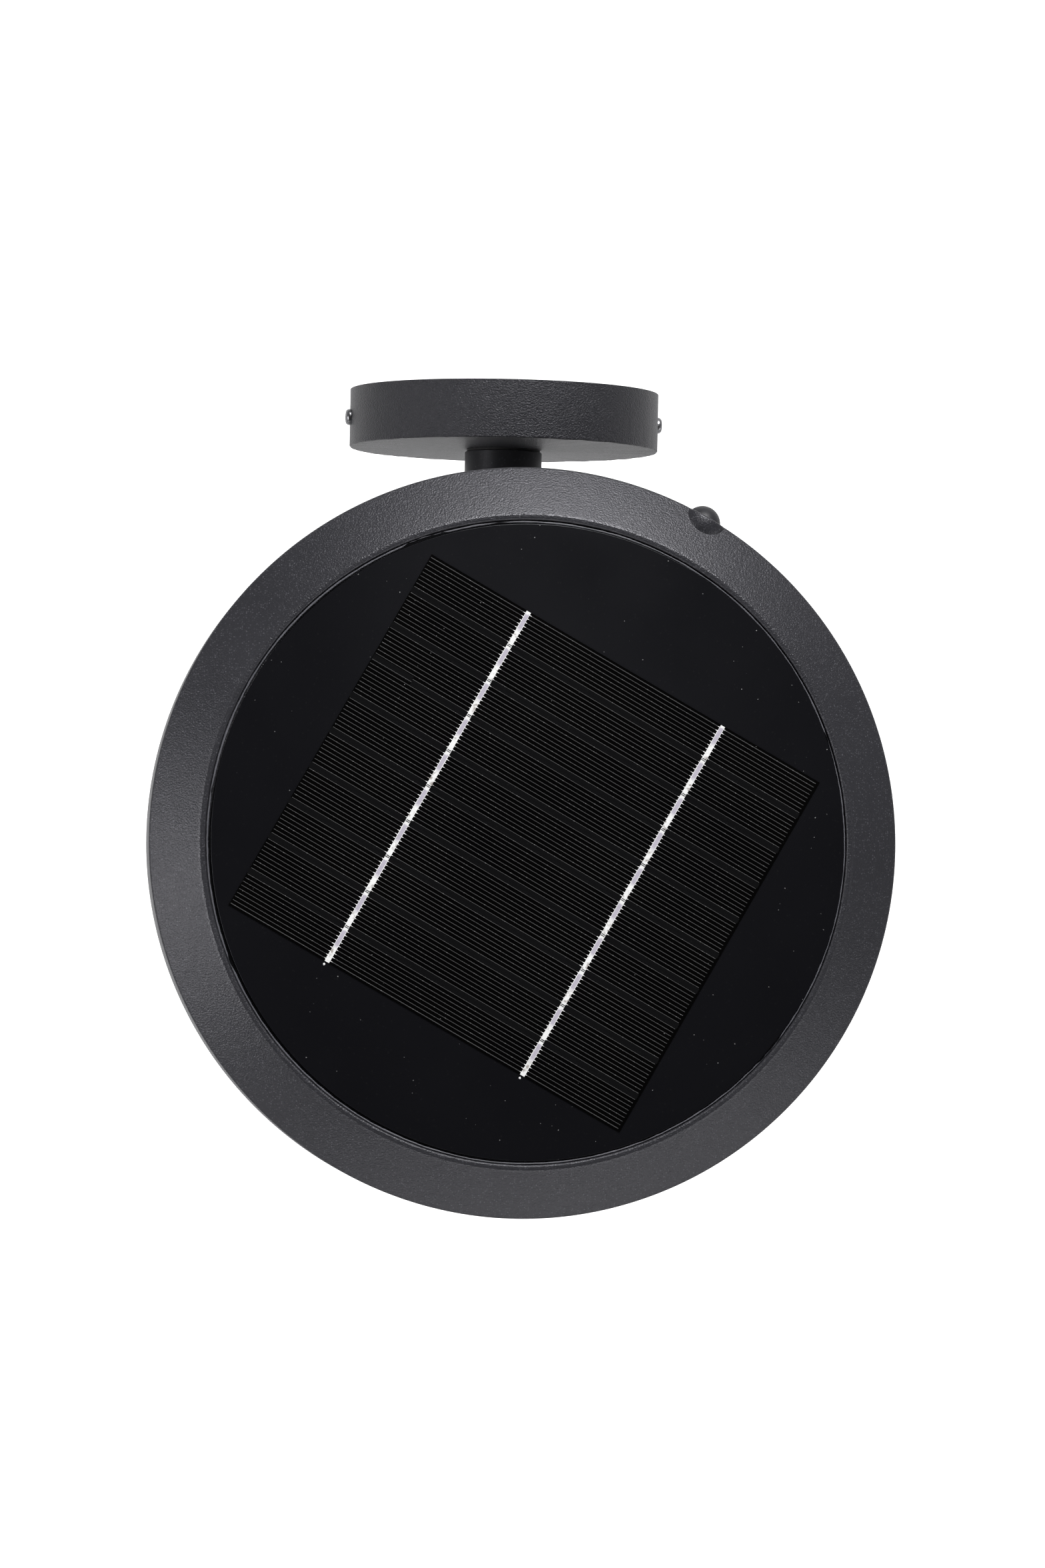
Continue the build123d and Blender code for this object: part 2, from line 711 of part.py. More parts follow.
# ---------------------------------------------------------------- light engine
def make_reflector():
    tip_z = reflector_under_z - reflector_cone_drop
    slope = (reflector_cone_radius - reflector_tip_radius) / reflector_cone_drop
    inner_top = reflector_cone_radius - reflector_thickness
    inner_tip_z = tip_z + reflector_thickness
    inner_tip = max(inner_top - (cover_under_z - inner_tip_z) * slope, reflector_tip_hollow)
    corners = [(reflector_radius, cover_under_z), (reflector_radius, reflector_under_z),
               (reflector_cone_radius, reflector_under_z), (reflector_tip_radius, tip_z), (0, tip_z),
               (0, inner_tip_z), (inner_tip, inner_tip_z), (inner_top, cover_under_z)]
    shape = ring(corners, [(3, reflector_tip_round)])
    shape -= holes_around(screw_m3, reflector_under_z, cover_under_z, *led_screws_at)
    return shape - lead_hole_place * disc(lead_hole_radius, reflector_under_z, cover_under_z)


add("led_reflector", head_place(make_reflector()))

led_board = ring([(led_board_inner, led_board_under_z), (led_board_outer, led_board_under_z),
                  (led_board_outer, reflector_under_z), (led_board_inner, reflector_under_z)])
led_board -= holes_around(screw_m3, led_board_under_z, reflector_under_z, *led_screws_at)
add("led_board", head_place(led_board))

led_low = led_board_under_z - led_height
led_start = 180 / led_count
led_chip = block(led_side, led_side, led_low, led_board_under_z)
add("led_chips", head_group(around(led_chip, led_circle, led_count, led_start)))

led_screw_length = led_board_thickness + reflector_thickness + cover_wall + led_screw_bite
led_screw = Pos(0, 0, led_board_under_z) * Rot(180, 0, 0) * pan_screw(screw_m3, led_screw_length)
add("led_board_screws", head_group(around(led_screw, *led_screws_at)))


# ---------------------------------------------------------------- solar panel
backing = Pos(panel_shift, 0, 0) * disc(panel_radius, panel_back_z, panel_face_z)
add("solar_backing", head_place(backing))

bead_top = panel_face_z + bead_height
bead = disc(pocket_radius, panel_back_z, bead_top)
bead -= Pos(panel_shift, 0, 0) * disc(panel_radius, panel_back_z, bead_top)
add("panel_sealant", head_place(bead))

cell_place = Pos(cell_shift_x, cell_shift_y, 0) * Rot(0, 0, cell_turn)
cell_top_z = panel_face_z + cell_thickness
strip = block(strip_length, strip_pitch - strip_gap, panel_face_z, cell_top_z)
for number in range(strip_count):
    row_y = (strip_count - 1) / 2 * strip_pitch - number * strip_pitch
    add(f"solar_cell_{number + 1:02d}", head_place(cell_place * Pos(0, row_y, 0) * strip))

ribbon_length = strip_field - 2 * ribbon_overrun
ribbon = block(ribbon_width, ribbon_length, cell_top_z, cell_top_z + ribbon_thickness)
for name, side in (("left", -1), ("right", 1)):
    add(f"cell_ribbon_{name}", head_place(cell_place * Pos(side * ribbon_spacing / 2, 0, 0) * ribbon))


# ---------------------------------------------------------------- push button
def make_button_cap():
    shape = disc(button_cap_radius, flange_back, button_cap_centre)
    shape += Pos(0, 0, button_cap_centre) * Sphere(button_cap_radius)
    shape &= disc(2 * button_cap_radius, flange_back, button_cap_centre + 2 * button_cap_radius)
    shape += disc(button_flange_radius, flange_back, flange_front)
    hollow = disc(button_cap_radius - button_cap_wall, flange_back, button_cap_centre)
    hollow += Pos(0, 0, button_cap_centre) * Sphere(button_cap_radius - button_cap_wall)
    hollow -= disc(button_post_radius, post_back, boss_face + button_cap_radius)
    shape -= hollow
    shape += disc(button_post_radius, post_back, button_cap_centre)
    return shape


add("button_cap", head_place(button_place(make_button_cap())))
plunger_back = switch_board_front + plunger_spare + button_travel
plunger = disc(plunger_radius, plunger_back, post_back)
add("switch_plunger", head_place(button_place(plunger)))

retainer_outer = chamber_radius - retainer_gap
retainer_inner = retainer_outer - retainer_wall
retainer_front = flange_back - button_travel - retainer_gap
retainer = ring([(retainer_inner, switch_board_front), (retainer_outer, switch_board_front),
                 (retainer_outer, retainer_front), (retainer_inner, retainer_front)], [(2, retainer_round)])
add("button_retainer", head_place(button_place(retainer)))

switch_body = block(switch_side, switch_side, switch_board_front, switch_front)
switch_body = fillet(switch_body.edges().filter_by(Axis.Z), switch_corner_round)
switch_body -= disc(plunger_radius + plunger_gap, switch_board_front + plunger_spare, switch_front)
add("switch_body", head_place(button_place(switch_body)))

switch_board = block(switch_board_height, switch_board_length, switch_board_back, switch_board_front)
switch_screw = pan_screw(screw_m3, switch_board_thickness + switch_screw_bite)
switch_screws = []
for side in (-1, 1):
    spot = Pos(0, side * switch_post_place, 0)
    switch_board -= spot * screw_hole(screw_m3, switch_board_back, switch_board_front)
    screw = Pos(0, 0, switch_board_back) * Rot(180, 0, 0) * switch_screw
    switch_screws.append(button_place(spot * screw))
add("switch_board", head_place(button_place(switch_board)))
add("switch_board_screws", head_group(switch_screws))


# ---------------------------------------------------------------- battery
tray_low = cover_top_z
cell_axis_z = tray_low + tray_floor + battery_radius
tray_inner_x = battery_length + 2 * tray_end_gap
tray_inner_y = battery_spacing + 2 * battery_radius + 2 * tray_side_gap
battery_place = Pos(0, battery_place_y, 0)


def make_battery_tray():
    floor_top = tray_low + tray_floor
    tray_top = tray_low + tray_height
    notch = strap_width + 2 * strap_side_gap
    shape = block(tray_inner_x + 2 * tray_wall, tray_inner_y + 2 * tray_wall, tray_low, tray_top)
    shape = fillet(shape.edges().filter_by(Axis.Z), tray_corner_round)
    shape -= block(tray_inner_x, tray_inner_y, floor_top, tray_top)
    return shape - block(notch, tray_inner_y + 4 * tray_wall, floor_top, tray_top)


add("battery_tray", head_place(battery_place * make_battery_tray()))

for number, side in ((1, -1), (2, 1)):
    shoulder = battery_length - battery_pip_height
    can = ring([(0, 0), (battery_radius, 0), (battery_radius, shoulder), (battery_pip_radius, shoulder),
                (battery_pip_radius, battery_length), (0, battery_length)],
               [(1, battery_end_round), (2, battery_end_round)])
    spot = Pos(-battery_length / 2, battery_place_y + side * battery_spacing / 2, cell_axis_z)
    add(f"battery_cell_{number}", head_place(spot * Rot(0, 90, 0) * can))

tabs = []
for side in (-1, 1):
    edge = side * (battery_length / 2 + tab_thickness / 2)
    tab = Box(tab_thickness, battery_spacing + tab_width, tab_width)
    tabs.append(Pos(edge, battery_place_y, cell_axis_z) * tab)
add("battery_tabs", head_group(tabs))

strap_under = cell_axis_z + battery_radius
strap_seat = cover_top_z + tray_height
strap_leg_y = strap_post_y - board_post_radius - strap_gap


def make_battery_strap():
    leg_out = strap_leg_y
    leg_in = leg_out - strap_thickness
    foot_out = strap_post_y + board_post_radius + strap_gap
    corners = [(-foot_out, strap_seat), (-leg_in, strap_seat), (-leg_in, strap_under), (leg_in, strap_under),
               (leg_in, strap_seat), (foot_out, strap_seat), (foot_out, strap_seat + strap_thickness),
               (leg_out, strap_seat + strap_thickness), (leg_out, strap_under + strap_thickness),
               (-leg_out, strap_under + strap_thickness), (-leg_out, strap_seat + strap_thickness),
               (-foot_out, strap_seat + strap_thickness)]
    face = make_face(Polyline(*corners, close=True))
    shape = extrude(Plane.YZ * face, strap_width / 2, both=True)
    hole = screw_hole(screw_m3, strap_seat, strap_seat + strap_thickness)
    for side in (-1, 1):
        shape -= Pos(0, side * strap_post_y, 0) * hole
    return shape


add("battery_strap", head_place(battery_place * make_battery_strap()))

strap_screws = []
for side in (-1, 1):
    spot = Pos(0, battery_place_y + side * strap_post_y, strap_seat + strap_thickness)
    strap_screws.append(spot * pan_screw(screw_m3, strap_thickness + tray_height - strap_screw_spare))
add("battery_strap_screws", head_group(strap_screws))


# ---------------------------------------------------------------- control board
board = block(board_length, board_width, board_under_z, board_top_z)
board_screws = []
for x, y in board_posts:
    board -= Pos(x, y, 0) * screw_hole(screw_m3, board_under_z, board_top_z)
    screw = pan_screw(screw_m3, board_thickness + board_lift - pilot_depth_spare)
    board_screws.append(Pos(x, board_place_y + y, board_top_z) * screw)
board_place = Pos(0, board_place_y, 0)
add("control_board", head_place(board_place * board))
add("control_board_screws", head_group(board_screws))

plug_row = board_width / 2 - plug_side / 2 - plug_inset
plug_places = {"led": (-plug_spacing, board_place_y - plug_row), "panel": (0.0, board_place_y - plug_row),
               "battery": (plug_spacing, board_place_y - plug_row),
               "switch": (plug_spacing, board_place_y + plug_row)}


def on_board(place, shape):
    """Move a component from the Z axis to its place on the control board."""
    x, y = place
    return Pos(x, board_place_y + y, 0) * shape


def make_board_components():
    inductor = disc(inductor_radius, board_top_z, board_top_z + inductor_height)
    capacitor = disc(capacitor_radius, board_top_z, board_top_z + capacitor_height)
    controller = block(controller_side, controller_side, board_top_z, board_top_z + controller_height)
    charger = block(charger_side, charger_side, board_top_z, board_top_z + charger_height)
    pieces = [on_board(inductor_place, inductor), on_board(capacitor_place, capacitor),
              on_board(controller_place, controller), on_board(charger_place, charger)]
    for x, y in plug_places.values():
        pieces.append(Pos(x, y, 0) * block(plug_side, plug_side, board_top_z, board_top_z + plug_height))
    return group(pieces)


add("board_components", head_place(make_board_components()))


# ---------------------------------------------------------------- inner leads
def make_lead(points, bends):
    """Round lead along straight runs joined by arcs."""
    path = FilletPolyline(*points, radius=bends)
    start = Plane(origin=points[0], z_dir=path % 0)
    return sweep(start * Circle(lead_radius), path=path)


plug_top_z = board_top_z + plug_height
lead_rise_z = plug_top_z + lead_rise


def plug_point(name, height):
    """Point above a plug on the control board."""
    x, y = plug_places[name]
    return (x, y, height)


battery_end = (battery_length / 2 + tab_thickness + lead_radius, battery_place_y + battery_spacing / 2)
battery_points = [(*battery_end, cell_axis_z), (*battery_end, lead_rise_z),
                  plug_point("battery", lead_rise_z), plug_point("battery", plug_top_z)]
add("battery_lead", head_place(make_lead(battery_points, lead_bend)))

panel_rise_z = lead_rise_z + lead_step
panel_points = [(0, panel_lead_place, panel_back_z), (0, panel_lead_place, panel_rise_z),
                plug_point("panel", panel_rise_z), plug_point("panel", plug_top_z)]
add("panel_lead", head_place(make_lead(panel_points, panel_lead_bend)))

hole_x = lead_hole_circle * cos(radians(lead_hole_angle))
hole_y = lead_hole_circle * sin(radians(lead_hole_angle))
led_points = [(hole_x, hole_y, reflector_under_z), (hole_x, hole_y, lead_rise_z),
              plug_point("led", lead_rise_z), plug_point("led", plug_top_z)]
add("led_lead", head_place(make_lead(led_points, lead_bend)))



def behind_button(radius):
    """Point on the button's axis at a distance from the head's centre line."""
    return (radius * cos(radians(button_angle)), radius * sin(radians(button_angle)), button_z)


switch_points = [behind_button(switch_board_back), behind_button(switch_board_back - switch_lead_gap),
                 plug_point("switch", button_z), plug_point("switch", plug_top_z)]
add("switch_lead", head_place(make_lead(switch_points, switch_lead_bend)))


# ---------------------------------------------------------------- files
os.makedirs("parts", exist_ok=True)
for name, shape in parts.items():
    export_step(shape, f"parts/{name}.step")
print(len(parts), "nodes written")
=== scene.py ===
# %% [markdown]
# A solar wall light. A wide round hat holds a solar panel in its top, a short stem reaches back
# to a round wall plate, and a push button stands in the hat's rim. The drawing office has fixed
# every real size, so this lesson starts by loading that frame and only dresses it: smoother
# shells, solder, sealant and finishes.

# %% Load the frame
import json
import math

import bmesh
import bpy
from mathutils import Matrix, Vector, noise

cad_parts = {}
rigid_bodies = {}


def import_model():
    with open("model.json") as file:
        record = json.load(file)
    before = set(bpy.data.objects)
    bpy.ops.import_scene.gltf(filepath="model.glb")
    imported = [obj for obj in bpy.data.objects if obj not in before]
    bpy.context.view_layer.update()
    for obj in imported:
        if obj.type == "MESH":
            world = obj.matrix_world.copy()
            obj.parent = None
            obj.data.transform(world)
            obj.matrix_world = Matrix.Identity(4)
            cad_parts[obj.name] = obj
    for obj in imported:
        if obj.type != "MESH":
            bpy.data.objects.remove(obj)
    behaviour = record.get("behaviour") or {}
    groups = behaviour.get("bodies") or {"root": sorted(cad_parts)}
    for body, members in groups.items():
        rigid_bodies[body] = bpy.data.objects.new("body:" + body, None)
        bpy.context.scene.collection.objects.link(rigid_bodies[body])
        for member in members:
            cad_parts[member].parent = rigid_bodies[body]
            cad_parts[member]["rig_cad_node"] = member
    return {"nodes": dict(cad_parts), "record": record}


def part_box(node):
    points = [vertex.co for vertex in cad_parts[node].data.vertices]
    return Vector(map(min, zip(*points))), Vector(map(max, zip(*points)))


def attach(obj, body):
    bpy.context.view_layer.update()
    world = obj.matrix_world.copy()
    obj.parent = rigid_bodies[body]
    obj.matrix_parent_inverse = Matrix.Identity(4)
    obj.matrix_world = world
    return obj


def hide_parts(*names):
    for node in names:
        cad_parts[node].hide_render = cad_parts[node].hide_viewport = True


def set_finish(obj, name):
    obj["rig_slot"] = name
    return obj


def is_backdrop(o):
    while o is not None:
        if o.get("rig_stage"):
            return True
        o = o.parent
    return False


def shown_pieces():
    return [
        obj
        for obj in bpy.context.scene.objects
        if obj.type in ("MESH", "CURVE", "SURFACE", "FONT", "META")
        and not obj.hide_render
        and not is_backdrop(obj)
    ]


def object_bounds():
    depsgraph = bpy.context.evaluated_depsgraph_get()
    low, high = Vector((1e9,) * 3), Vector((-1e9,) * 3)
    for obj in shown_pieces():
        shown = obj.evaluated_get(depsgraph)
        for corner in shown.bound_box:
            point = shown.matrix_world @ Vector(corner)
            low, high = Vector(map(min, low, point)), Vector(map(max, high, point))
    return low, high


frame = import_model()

MM = 0.001
cad_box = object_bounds()
print("frame loaded:", len(frame["nodes"]), "nodes, box",
      [tuple(round(c, 4) for c in p) for p in cad_box])

# %% [markdown]
# Every place comes from the frame. The hat's cover is a plain disc, so the middle of its box is
# the line the whole head turns about. The panel's box gives the panel's own middle, which sits a
# little off that line. Only the height of the rim, where the upright skirt turns into the sloping
# collar, is no box of its own and is written down here.

# %% Measure the frame
def middle(node):
    low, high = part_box(node)
    return (low + high) / 2


hat_low, hat_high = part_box("hat_housing")
head_line = Vector((middle("hat_cover").x, middle("hat_cover").y, 0))
rim_radius = (hat_high.x - hat_low.x) / 2
rim_height = 90 * MM
panel_low, panel_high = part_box("solar_backing")
panel_middle = middle("solar_backing")
panel_radius = (panel_high.x - panel_low.x) / 2
plate_low, plate_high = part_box("wall_plate")
plate_radius = (plate_high.x - plate_low.x) / 2
print("rim radius", round(rim_radius, 4), "panel radius", round(panel_radius, 4),
      "head line", tuple(head_line))

# %% [markdown]
# The studio comes first, because a finish can only be judged in its light. The lamp is seen from
# straight above through a long lens, turned a few degrees to one side. A short lens from close by
# would show the round hat as an egg, and a long one keeps it nearly a true circle.

# %% Camera
def put(name, data):
    """New object in the scene, unturned and at the origin."""
    made = bpy.data.objects.new(name, data)
    bpy.context.scene.collection.objects.link(made)
    return made


aim = head_line + Vector((0, 0, rim_height))
camera_from_aim = Vector((-0.7, 20.2, 2424.0))
camera_turn = Matrix.Rotation(math.radians(-6.48), 3, "Y") @ \
    Matrix.Rotation(math.radians(1.88), 3, "X") @ Matrix.Rotation(math.radians(1.07), 3, "Z")
camera = put("camera", bpy.data.cameras.new("camera"))
camera.data.sensor_width = 36
camera.data.lens = 161.04
camera.data.clip_start = 0.05
camera.data.clip_end = 50
camera.matrix_world = Matrix.Translation(aim + camera_turn @ camera_from_aim * MM) @ \
    camera_turn.to_4x4()
bpy.context.scene.camera = camera
bpy.context.scene.view_settings.view_transform = "Standard"
print("camera stands", round(camera.location.z, 3), "m above the stem")

# %% [markdown]
# A dark lamp on white is lit from a pale ring around it, with the ceiling left dark. Faces that
# look straight up stay deep, and sloping faces catch the ring. Four more lamps could make that
# ring, but they would show as separate patches. The world does it in one soft sweep, from the
# height of each ray, while the camera itself always sees plain white.

# %% World
def node_at(tree, kind, place, **values):
    """A shader node with its settings and its plain socket values."""
    made = tree.nodes.new(kind)
    made.location = place
    for name, value in values.items():
        if hasattr(made, name):
            setattr(made, name, value)
        else:
            made.inputs[name.replace("_", " ")].default_value = value
    return made


def math_at(tree, operation, place, *values):
    """A Math node. None leaves an input free for a link."""
    made = node_at(tree, "ShaderNodeMath", place, operation=operation)
    for socket, value in zip(made.inputs, values):
        if value is not None:
            socket.default_value = value
    return made


def link(tree, *pairs):
    """Link each output to its input."""
    for start, end in pairs:
        tree.links.new(start, end)


world = bpy.data.worlds.new("studio")
world.use_nodes = True
bpy.context.scene.world = world
tree = world.node_tree
tree.nodes.clear()
coords = node_at(tree, "ShaderNodeTexCoord", (-900, 0))
split = node_at(tree, "ShaderNodeSeparateXYZ", (-720, 0))
half = math_at(tree, "MULTIPLY_ADD", (-640, -200), None, 0.5, 0.5)
ramp = node_at(tree, "ShaderNodeValToRGB", (-540, 0))
ramp.color_ramp.interpolation = "EASE"
stops = [(0.0, 0.45), (0.5, 0.36), (0.72, 0.28), (0.9, 0.06), (1.0, 0.03)]
cool_lift = 1.03
while len(ramp.color_ramp.elements) < len(stops):
    ramp.color_ramp.elements.new(0.5)
for element, (place, level) in zip(ramp.color_ramp.elements, stops):
    element.position = place
    element.color = (level, level, level * cool_lift, 1)
pale_ring = node_at(tree, "ShaderNodeBackground", (-260, 0), Strength=1.0)
white = node_at(tree, "ShaderNodeBackground", (-260, -160), Color=(1, 1, 1, 1), Strength=1.0)
path = node_at(tree, "ShaderNodeLightPath", (-260, 380))
either = node_at(tree, "ShaderNodeMixShader", (0, 0))
out = node_at(tree, "ShaderNodeOutputWorld", (200, 0))
link(tree, (coords.outputs["Generated"], split.inputs[0]), (split.outputs["Z"], half.inputs[0]),
     (half.outputs[0], ramp.inputs[0]), (ramp.outputs[0], pale_ring.inputs[0]),
     (path.outputs["Is Camera Ray"], either.inputs[0]), (pale_ring.outputs[0], either.inputs[1]),
     (white.outputs[0], either.inputs[2]), (either.outputs[0], out.inputs[0]))
print("world ring levels", stops)

# %% [markdown]
# Soft boxes add what an even ring can't: sides. The strongest stands behind the stem, a smaller
# one on the left, and a long low one in front. A faint one hangs nearly overhead, and a narrow
# one only draws the bright line along the crest of the lip. Each is placed by its bearing round
# the hat, counted from +X, by its height in degrees and by its distance, so that every lamp looks
# at the hat's middle by itself.

# %% Soft boxes
def soft_box(name, bearing, rise, distance, width, height, power):
    """Area lamp that looks at the middle of the hat."""
    a, e = math.radians(bearing), math.radians(rise)
    away = Vector((math.cos(a) * math.cos(e), math.sin(a) * math.cos(e), math.sin(e)))
    lamp = put(name, bpy.data.lights.new(name, "AREA"))
    lamp.data.shape = "RECTANGLE"
    lamp.data.size = width
    lamp.data.size_y = height
    lamp.data.energy = power
    lamp.location = aim + away * distance
    lamp.rotation_mode = "QUATERNION"
    lamp.rotation_quaternion = (-away).to_track_quat("-Z", "Y")
    return name


soft_boxes = [
    soft_box("box_back", 75, 36, 1.6, 0.85, 0.50, 20.5),
    soft_box("box_left", 190, 28, 1.1, 0.6, 0.4, 5.2),
    soft_box("box_front", 285, 22, 1.7, 3.6, 0.6, 18),
    soft_box("box_top", 55, 77, 1.8, 0.75, 0.45, 0.42),
    soft_box("box_crest", 78, 48, 1.5, 0.22, 0.30, 6.5),
]
print("soft boxes:", soft_boxes)

# %% [markdown]
# A pale floor lies well below the lamp. It bounces light up at the light cone and takes the
# lamp's soft shadow. To the camera it is lifted a little by a glow that lights nothing else, so
# that its lit part is as white as the backdrop and only the shadow still shows.

# %% Floor
floor_drop = 0.30


def mesh_of(work, name):
    """Hand a bmesh's shape over as a mesh, and free the bmesh."""
    mesh = bpy.data.meshes.new(name)
    work.to_mesh(mesh)
    work.free()
    return mesh


def bare_material(name):
    """Material with an empty node tree."""
    made = bpy.data.materials.new(name)
    made.use_nodes = True
    made.node_tree.nodes.clear()
    return made


work = bmesh.new()
bmesh.ops.create_grid(work, x_segments=1, y_segments=1, size=6.0)
bmesh.ops.translate(work, verts=work.verts, vec=(0, head_line.y, cad_box[0].z - floor_drop))
floor = put("floor", mesh_of(work, "floor"))
floor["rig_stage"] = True

paint = bare_material("pale_floor")
tree = paint.node_tree
matt = node_at(tree, "ShaderNodeBsdfDiffuse", (-260, 0), Color=(0.82, 0.82, 0.82, 1))
path = node_at(tree, "ShaderNodeLightPath", (-460, 320))
lift = math_at(tree, "MULTIPLY", (-260, -160), None, 0.55)
glow = node_at(tree, "ShaderNodeEmission", (-60, -160))
both = node_at(tree, "ShaderNodeAddShader", (120, 0))
out = node_at(tree, "ShaderNodeOutputMaterial", (300, 0))
link(tree, (path.outputs["Is Camera Ray"], lift.inputs[0]),
     (lift.outputs[0], glow.inputs["Strength"]), (matt.outputs[0], both.inputs[0]),
     (glow.outputs[0], both.inputs[1]), (both.outputs[0], out.inputs[0]))
floor.data.materials.append(paint)
print("floor at", round(cad_box[0].z - floor_drop, 3))

# %% [markdown]
# Most of this lamp is turned: hat, plate, stem and cup are all profiles spun about a line. One
# set of helpers does that job. A profile is given as radius and height in millimetres, its named
# corners are rounded while it is still a wire, and then it is spun. A spun solid could be
# bevelled afterwards, but rounding first is cheap and gives every corner a true arc.

# %% Turned shapes
def in_metres(points):
    return [(across * MM, up * MM) for across, up in points]


def wire(work, points, closed=True):
    """Chain of edges in the XZ plane through points in metres. Gives its vertices."""
    verts = [work.verts.new((x, 0, z)) for x, z in points]
    for start, end in zip(verts, verts[1:] + verts[:1] if closed else verts[1:]):
        work.edges.new((start, end))
    return verts


def corner_offset(corners, number, radius):
    """How far along the two sides an arc of this radius starts."""
    here = Vector(corners[number])
    before = Vector(corners[number - 1]) - here
    after = Vector(corners[(number + 1) % len(corners)]) - here
    return radius / math.tan(before.angle(after) / 2)


def wire_profile(work, corners, rounds):
    """Closed profile: rounds maps a corner's number to its radius and its segments."""
    verts = wire(work, in_metres(corners))
    for number, (radius, segments) in rounds.items():
        bmesh.ops.bevel(work, geom=[verts[number]], segments=segments, profile=0.5,
                        offset=corner_offset(corners, number, radius) * MM,
                        affect="VERTICES", material=-1)


def spin_profile(work, steps):
    """Spin everything in the bmesh once about Z."""
    bmesh.ops.spin(work, geom=work.verts[:] + work.edges[:], cent=(0, 0, 0), axis=(0, 0, 1),
                   dvec=(0, 0, 0), angle=2 * math.pi, steps=steps, use_merge=True,
                   use_duplicate=False)
    bmesh.ops.remove_doubles(work, verts=work.verts, dist=1e-6)
    bmesh.ops.recalc_face_normals(work, faces=work.faces)


def smooth(mesh, sharp=35):
    """Smooth shading, broken at edges that turn by more than this many degrees."""
    mesh.shade_smooth()
    mesh.set_sharp_from_angle(angle=math.radians(sharp))


def keep(work, name, body, slot, *nodes, sharp=35):
    """Write the bmesh out as a piece that rides a body and stands for CAD nodes."""
    mesh = mesh_of(work, name)
    smooth(mesh, sharp)
    piece = put(name, mesh)
    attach(piece, body)
    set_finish(piece, slot)
    if nodes:
        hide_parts(*nodes)
    print(name, "has", len(mesh.polygons), "faces")
    return piece


# %% [markdown]
# The hat is a moulded shell: an upright skirt, a sloping collar up to a narrow lip, and a ledge
# inside the lip that carries the panel. An open surface with a Solidify modifier would give an
# even wall, but not the ledge and the rib inside. So the profile is the shell's whole wall,
# inside and out, and the piece is closed and has a real thickness wherever one looks into it.

# %% Hat shell
collar_across = 17.08
lip_across = 1.85
ledge_across = 8
rib_across = 4.6
skirt_draft = 0.5
wall = 2.2
rim = rim_radius / MM
rim_z = rim_height / MM
foot = hat_low.z / MM
crest = hat_high.z / MM
seat = panel_low.z / MM
lip = rim - collar_across
pocket = lip - lip_across
ledge = pocket - ledge_across
ledge_low = seat - wall
inner = rim - skirt_draft - wall
rib = inner - rib_across
rib_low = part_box("cover_gasket")[1].z / MM
slope = (crest - rim_z) / (rim - lip)
under = wall * math.hypot(1, slope)
hat_corners = [
    (rim - skirt_draft, foot), (rim, rim_z), (lip, crest), (pocket, crest), (pocket, seat),
    (ledge, seat), (ledge, ledge_low), (rim - (ledge_low - rim_z + under) / slope, ledge_low),
    (inner, rim_z + (rim - inner) * slope - under), (inner, rib_low + wall),
    (rib, rib_low + wall), (rib, rib_low), (inner, rib_low), (inner, foot),
]
hat_rounds = {0: (1.0, 4), 1: (1.2, 8), 2: (1.1, 8), 3: (0.9, 8)}
work = bmesh.new()
wire_profile(work, hat_corners, hat_rounds)
spin_profile(work, 300)
bmesh.ops.translate(work, verts=work.verts, vec=head_line)
hat_shell = keep(work, "hat_shell", "lamp", "anthracite_casting", "hat_housing")

# %% [markdown]
# The push button sits under a ball-shaped hood that is moulded with the hat and cut flat on its
# outer side. A turned ball with a flat and a rounded edge is added to the shell with a Boolean.
# The exact solver needs tools whose faces don't cross, so the edge is rounded in the ball's
# profile and not bevelled later. The flat is continued across the rim, and one stepped bore is
# taken out for the cap.

# %% Button hood
cap_middle = middle("button_cap")
button_line = (Vector((cap_middle.x, cap_middle.y, 0)) - head_line).normalized()
button_frame = Matrix.Translation(head_line + Vector((0, 0, cap_middle.z))) @ \
    button_line.to_track_quat("Z", "Y").to_matrix().to_4x4()
hood_radius = 9.1
hood_centre = rim - 2.9
hood_edge = 0.8
flat_face = rim - 0.3
neck_end = flat_face - 4.0
bore_start = 111.0
bore_radius = 7.4
mouth_radius = 6.45


def cutter(name, work):
    """Turn a bmesh drawn along the button's line into an object to cut or add with."""
    bmesh.ops.transform(work, matrix=button_frame, verts=work.verts)
    return put(name, mesh_of(work, name))


def carve(piece, tool, operation):
    """Apply a Boolean and drop the tool."""
    step = piece.modifiers.new("carve", "BOOLEAN")
    step.operation = operation
    step.solver = "EXACT"
    step.object = tool
    bpy.context.view_layer.update()
    evaluated = piece.evaluated_get(bpy.context.evaluated_depsgraph_get())
    result = bpy.data.meshes.new_from_object(evaluated)
    piece.modifiers.clear()
    piece.data = result
    bpy.data.objects.remove(tool)


def sweep(work, vert, reach, level, turn, steps):
    """Carry a profile's last vertex round a point of its plane, and give the new last one."""
    turned = bmesh.ops.spin(work, geom=[vert], cent=(reach * MM, 0, level * MM),
                            axis=(0, -1, 0), dvec=(0, 0, 0), angle=turn, steps=steps,
                            use_merge=False, use_duplicate=False)
    return [g for g in turned["geom_last"] if isinstance(g, bmesh.types.BMVert)][0]


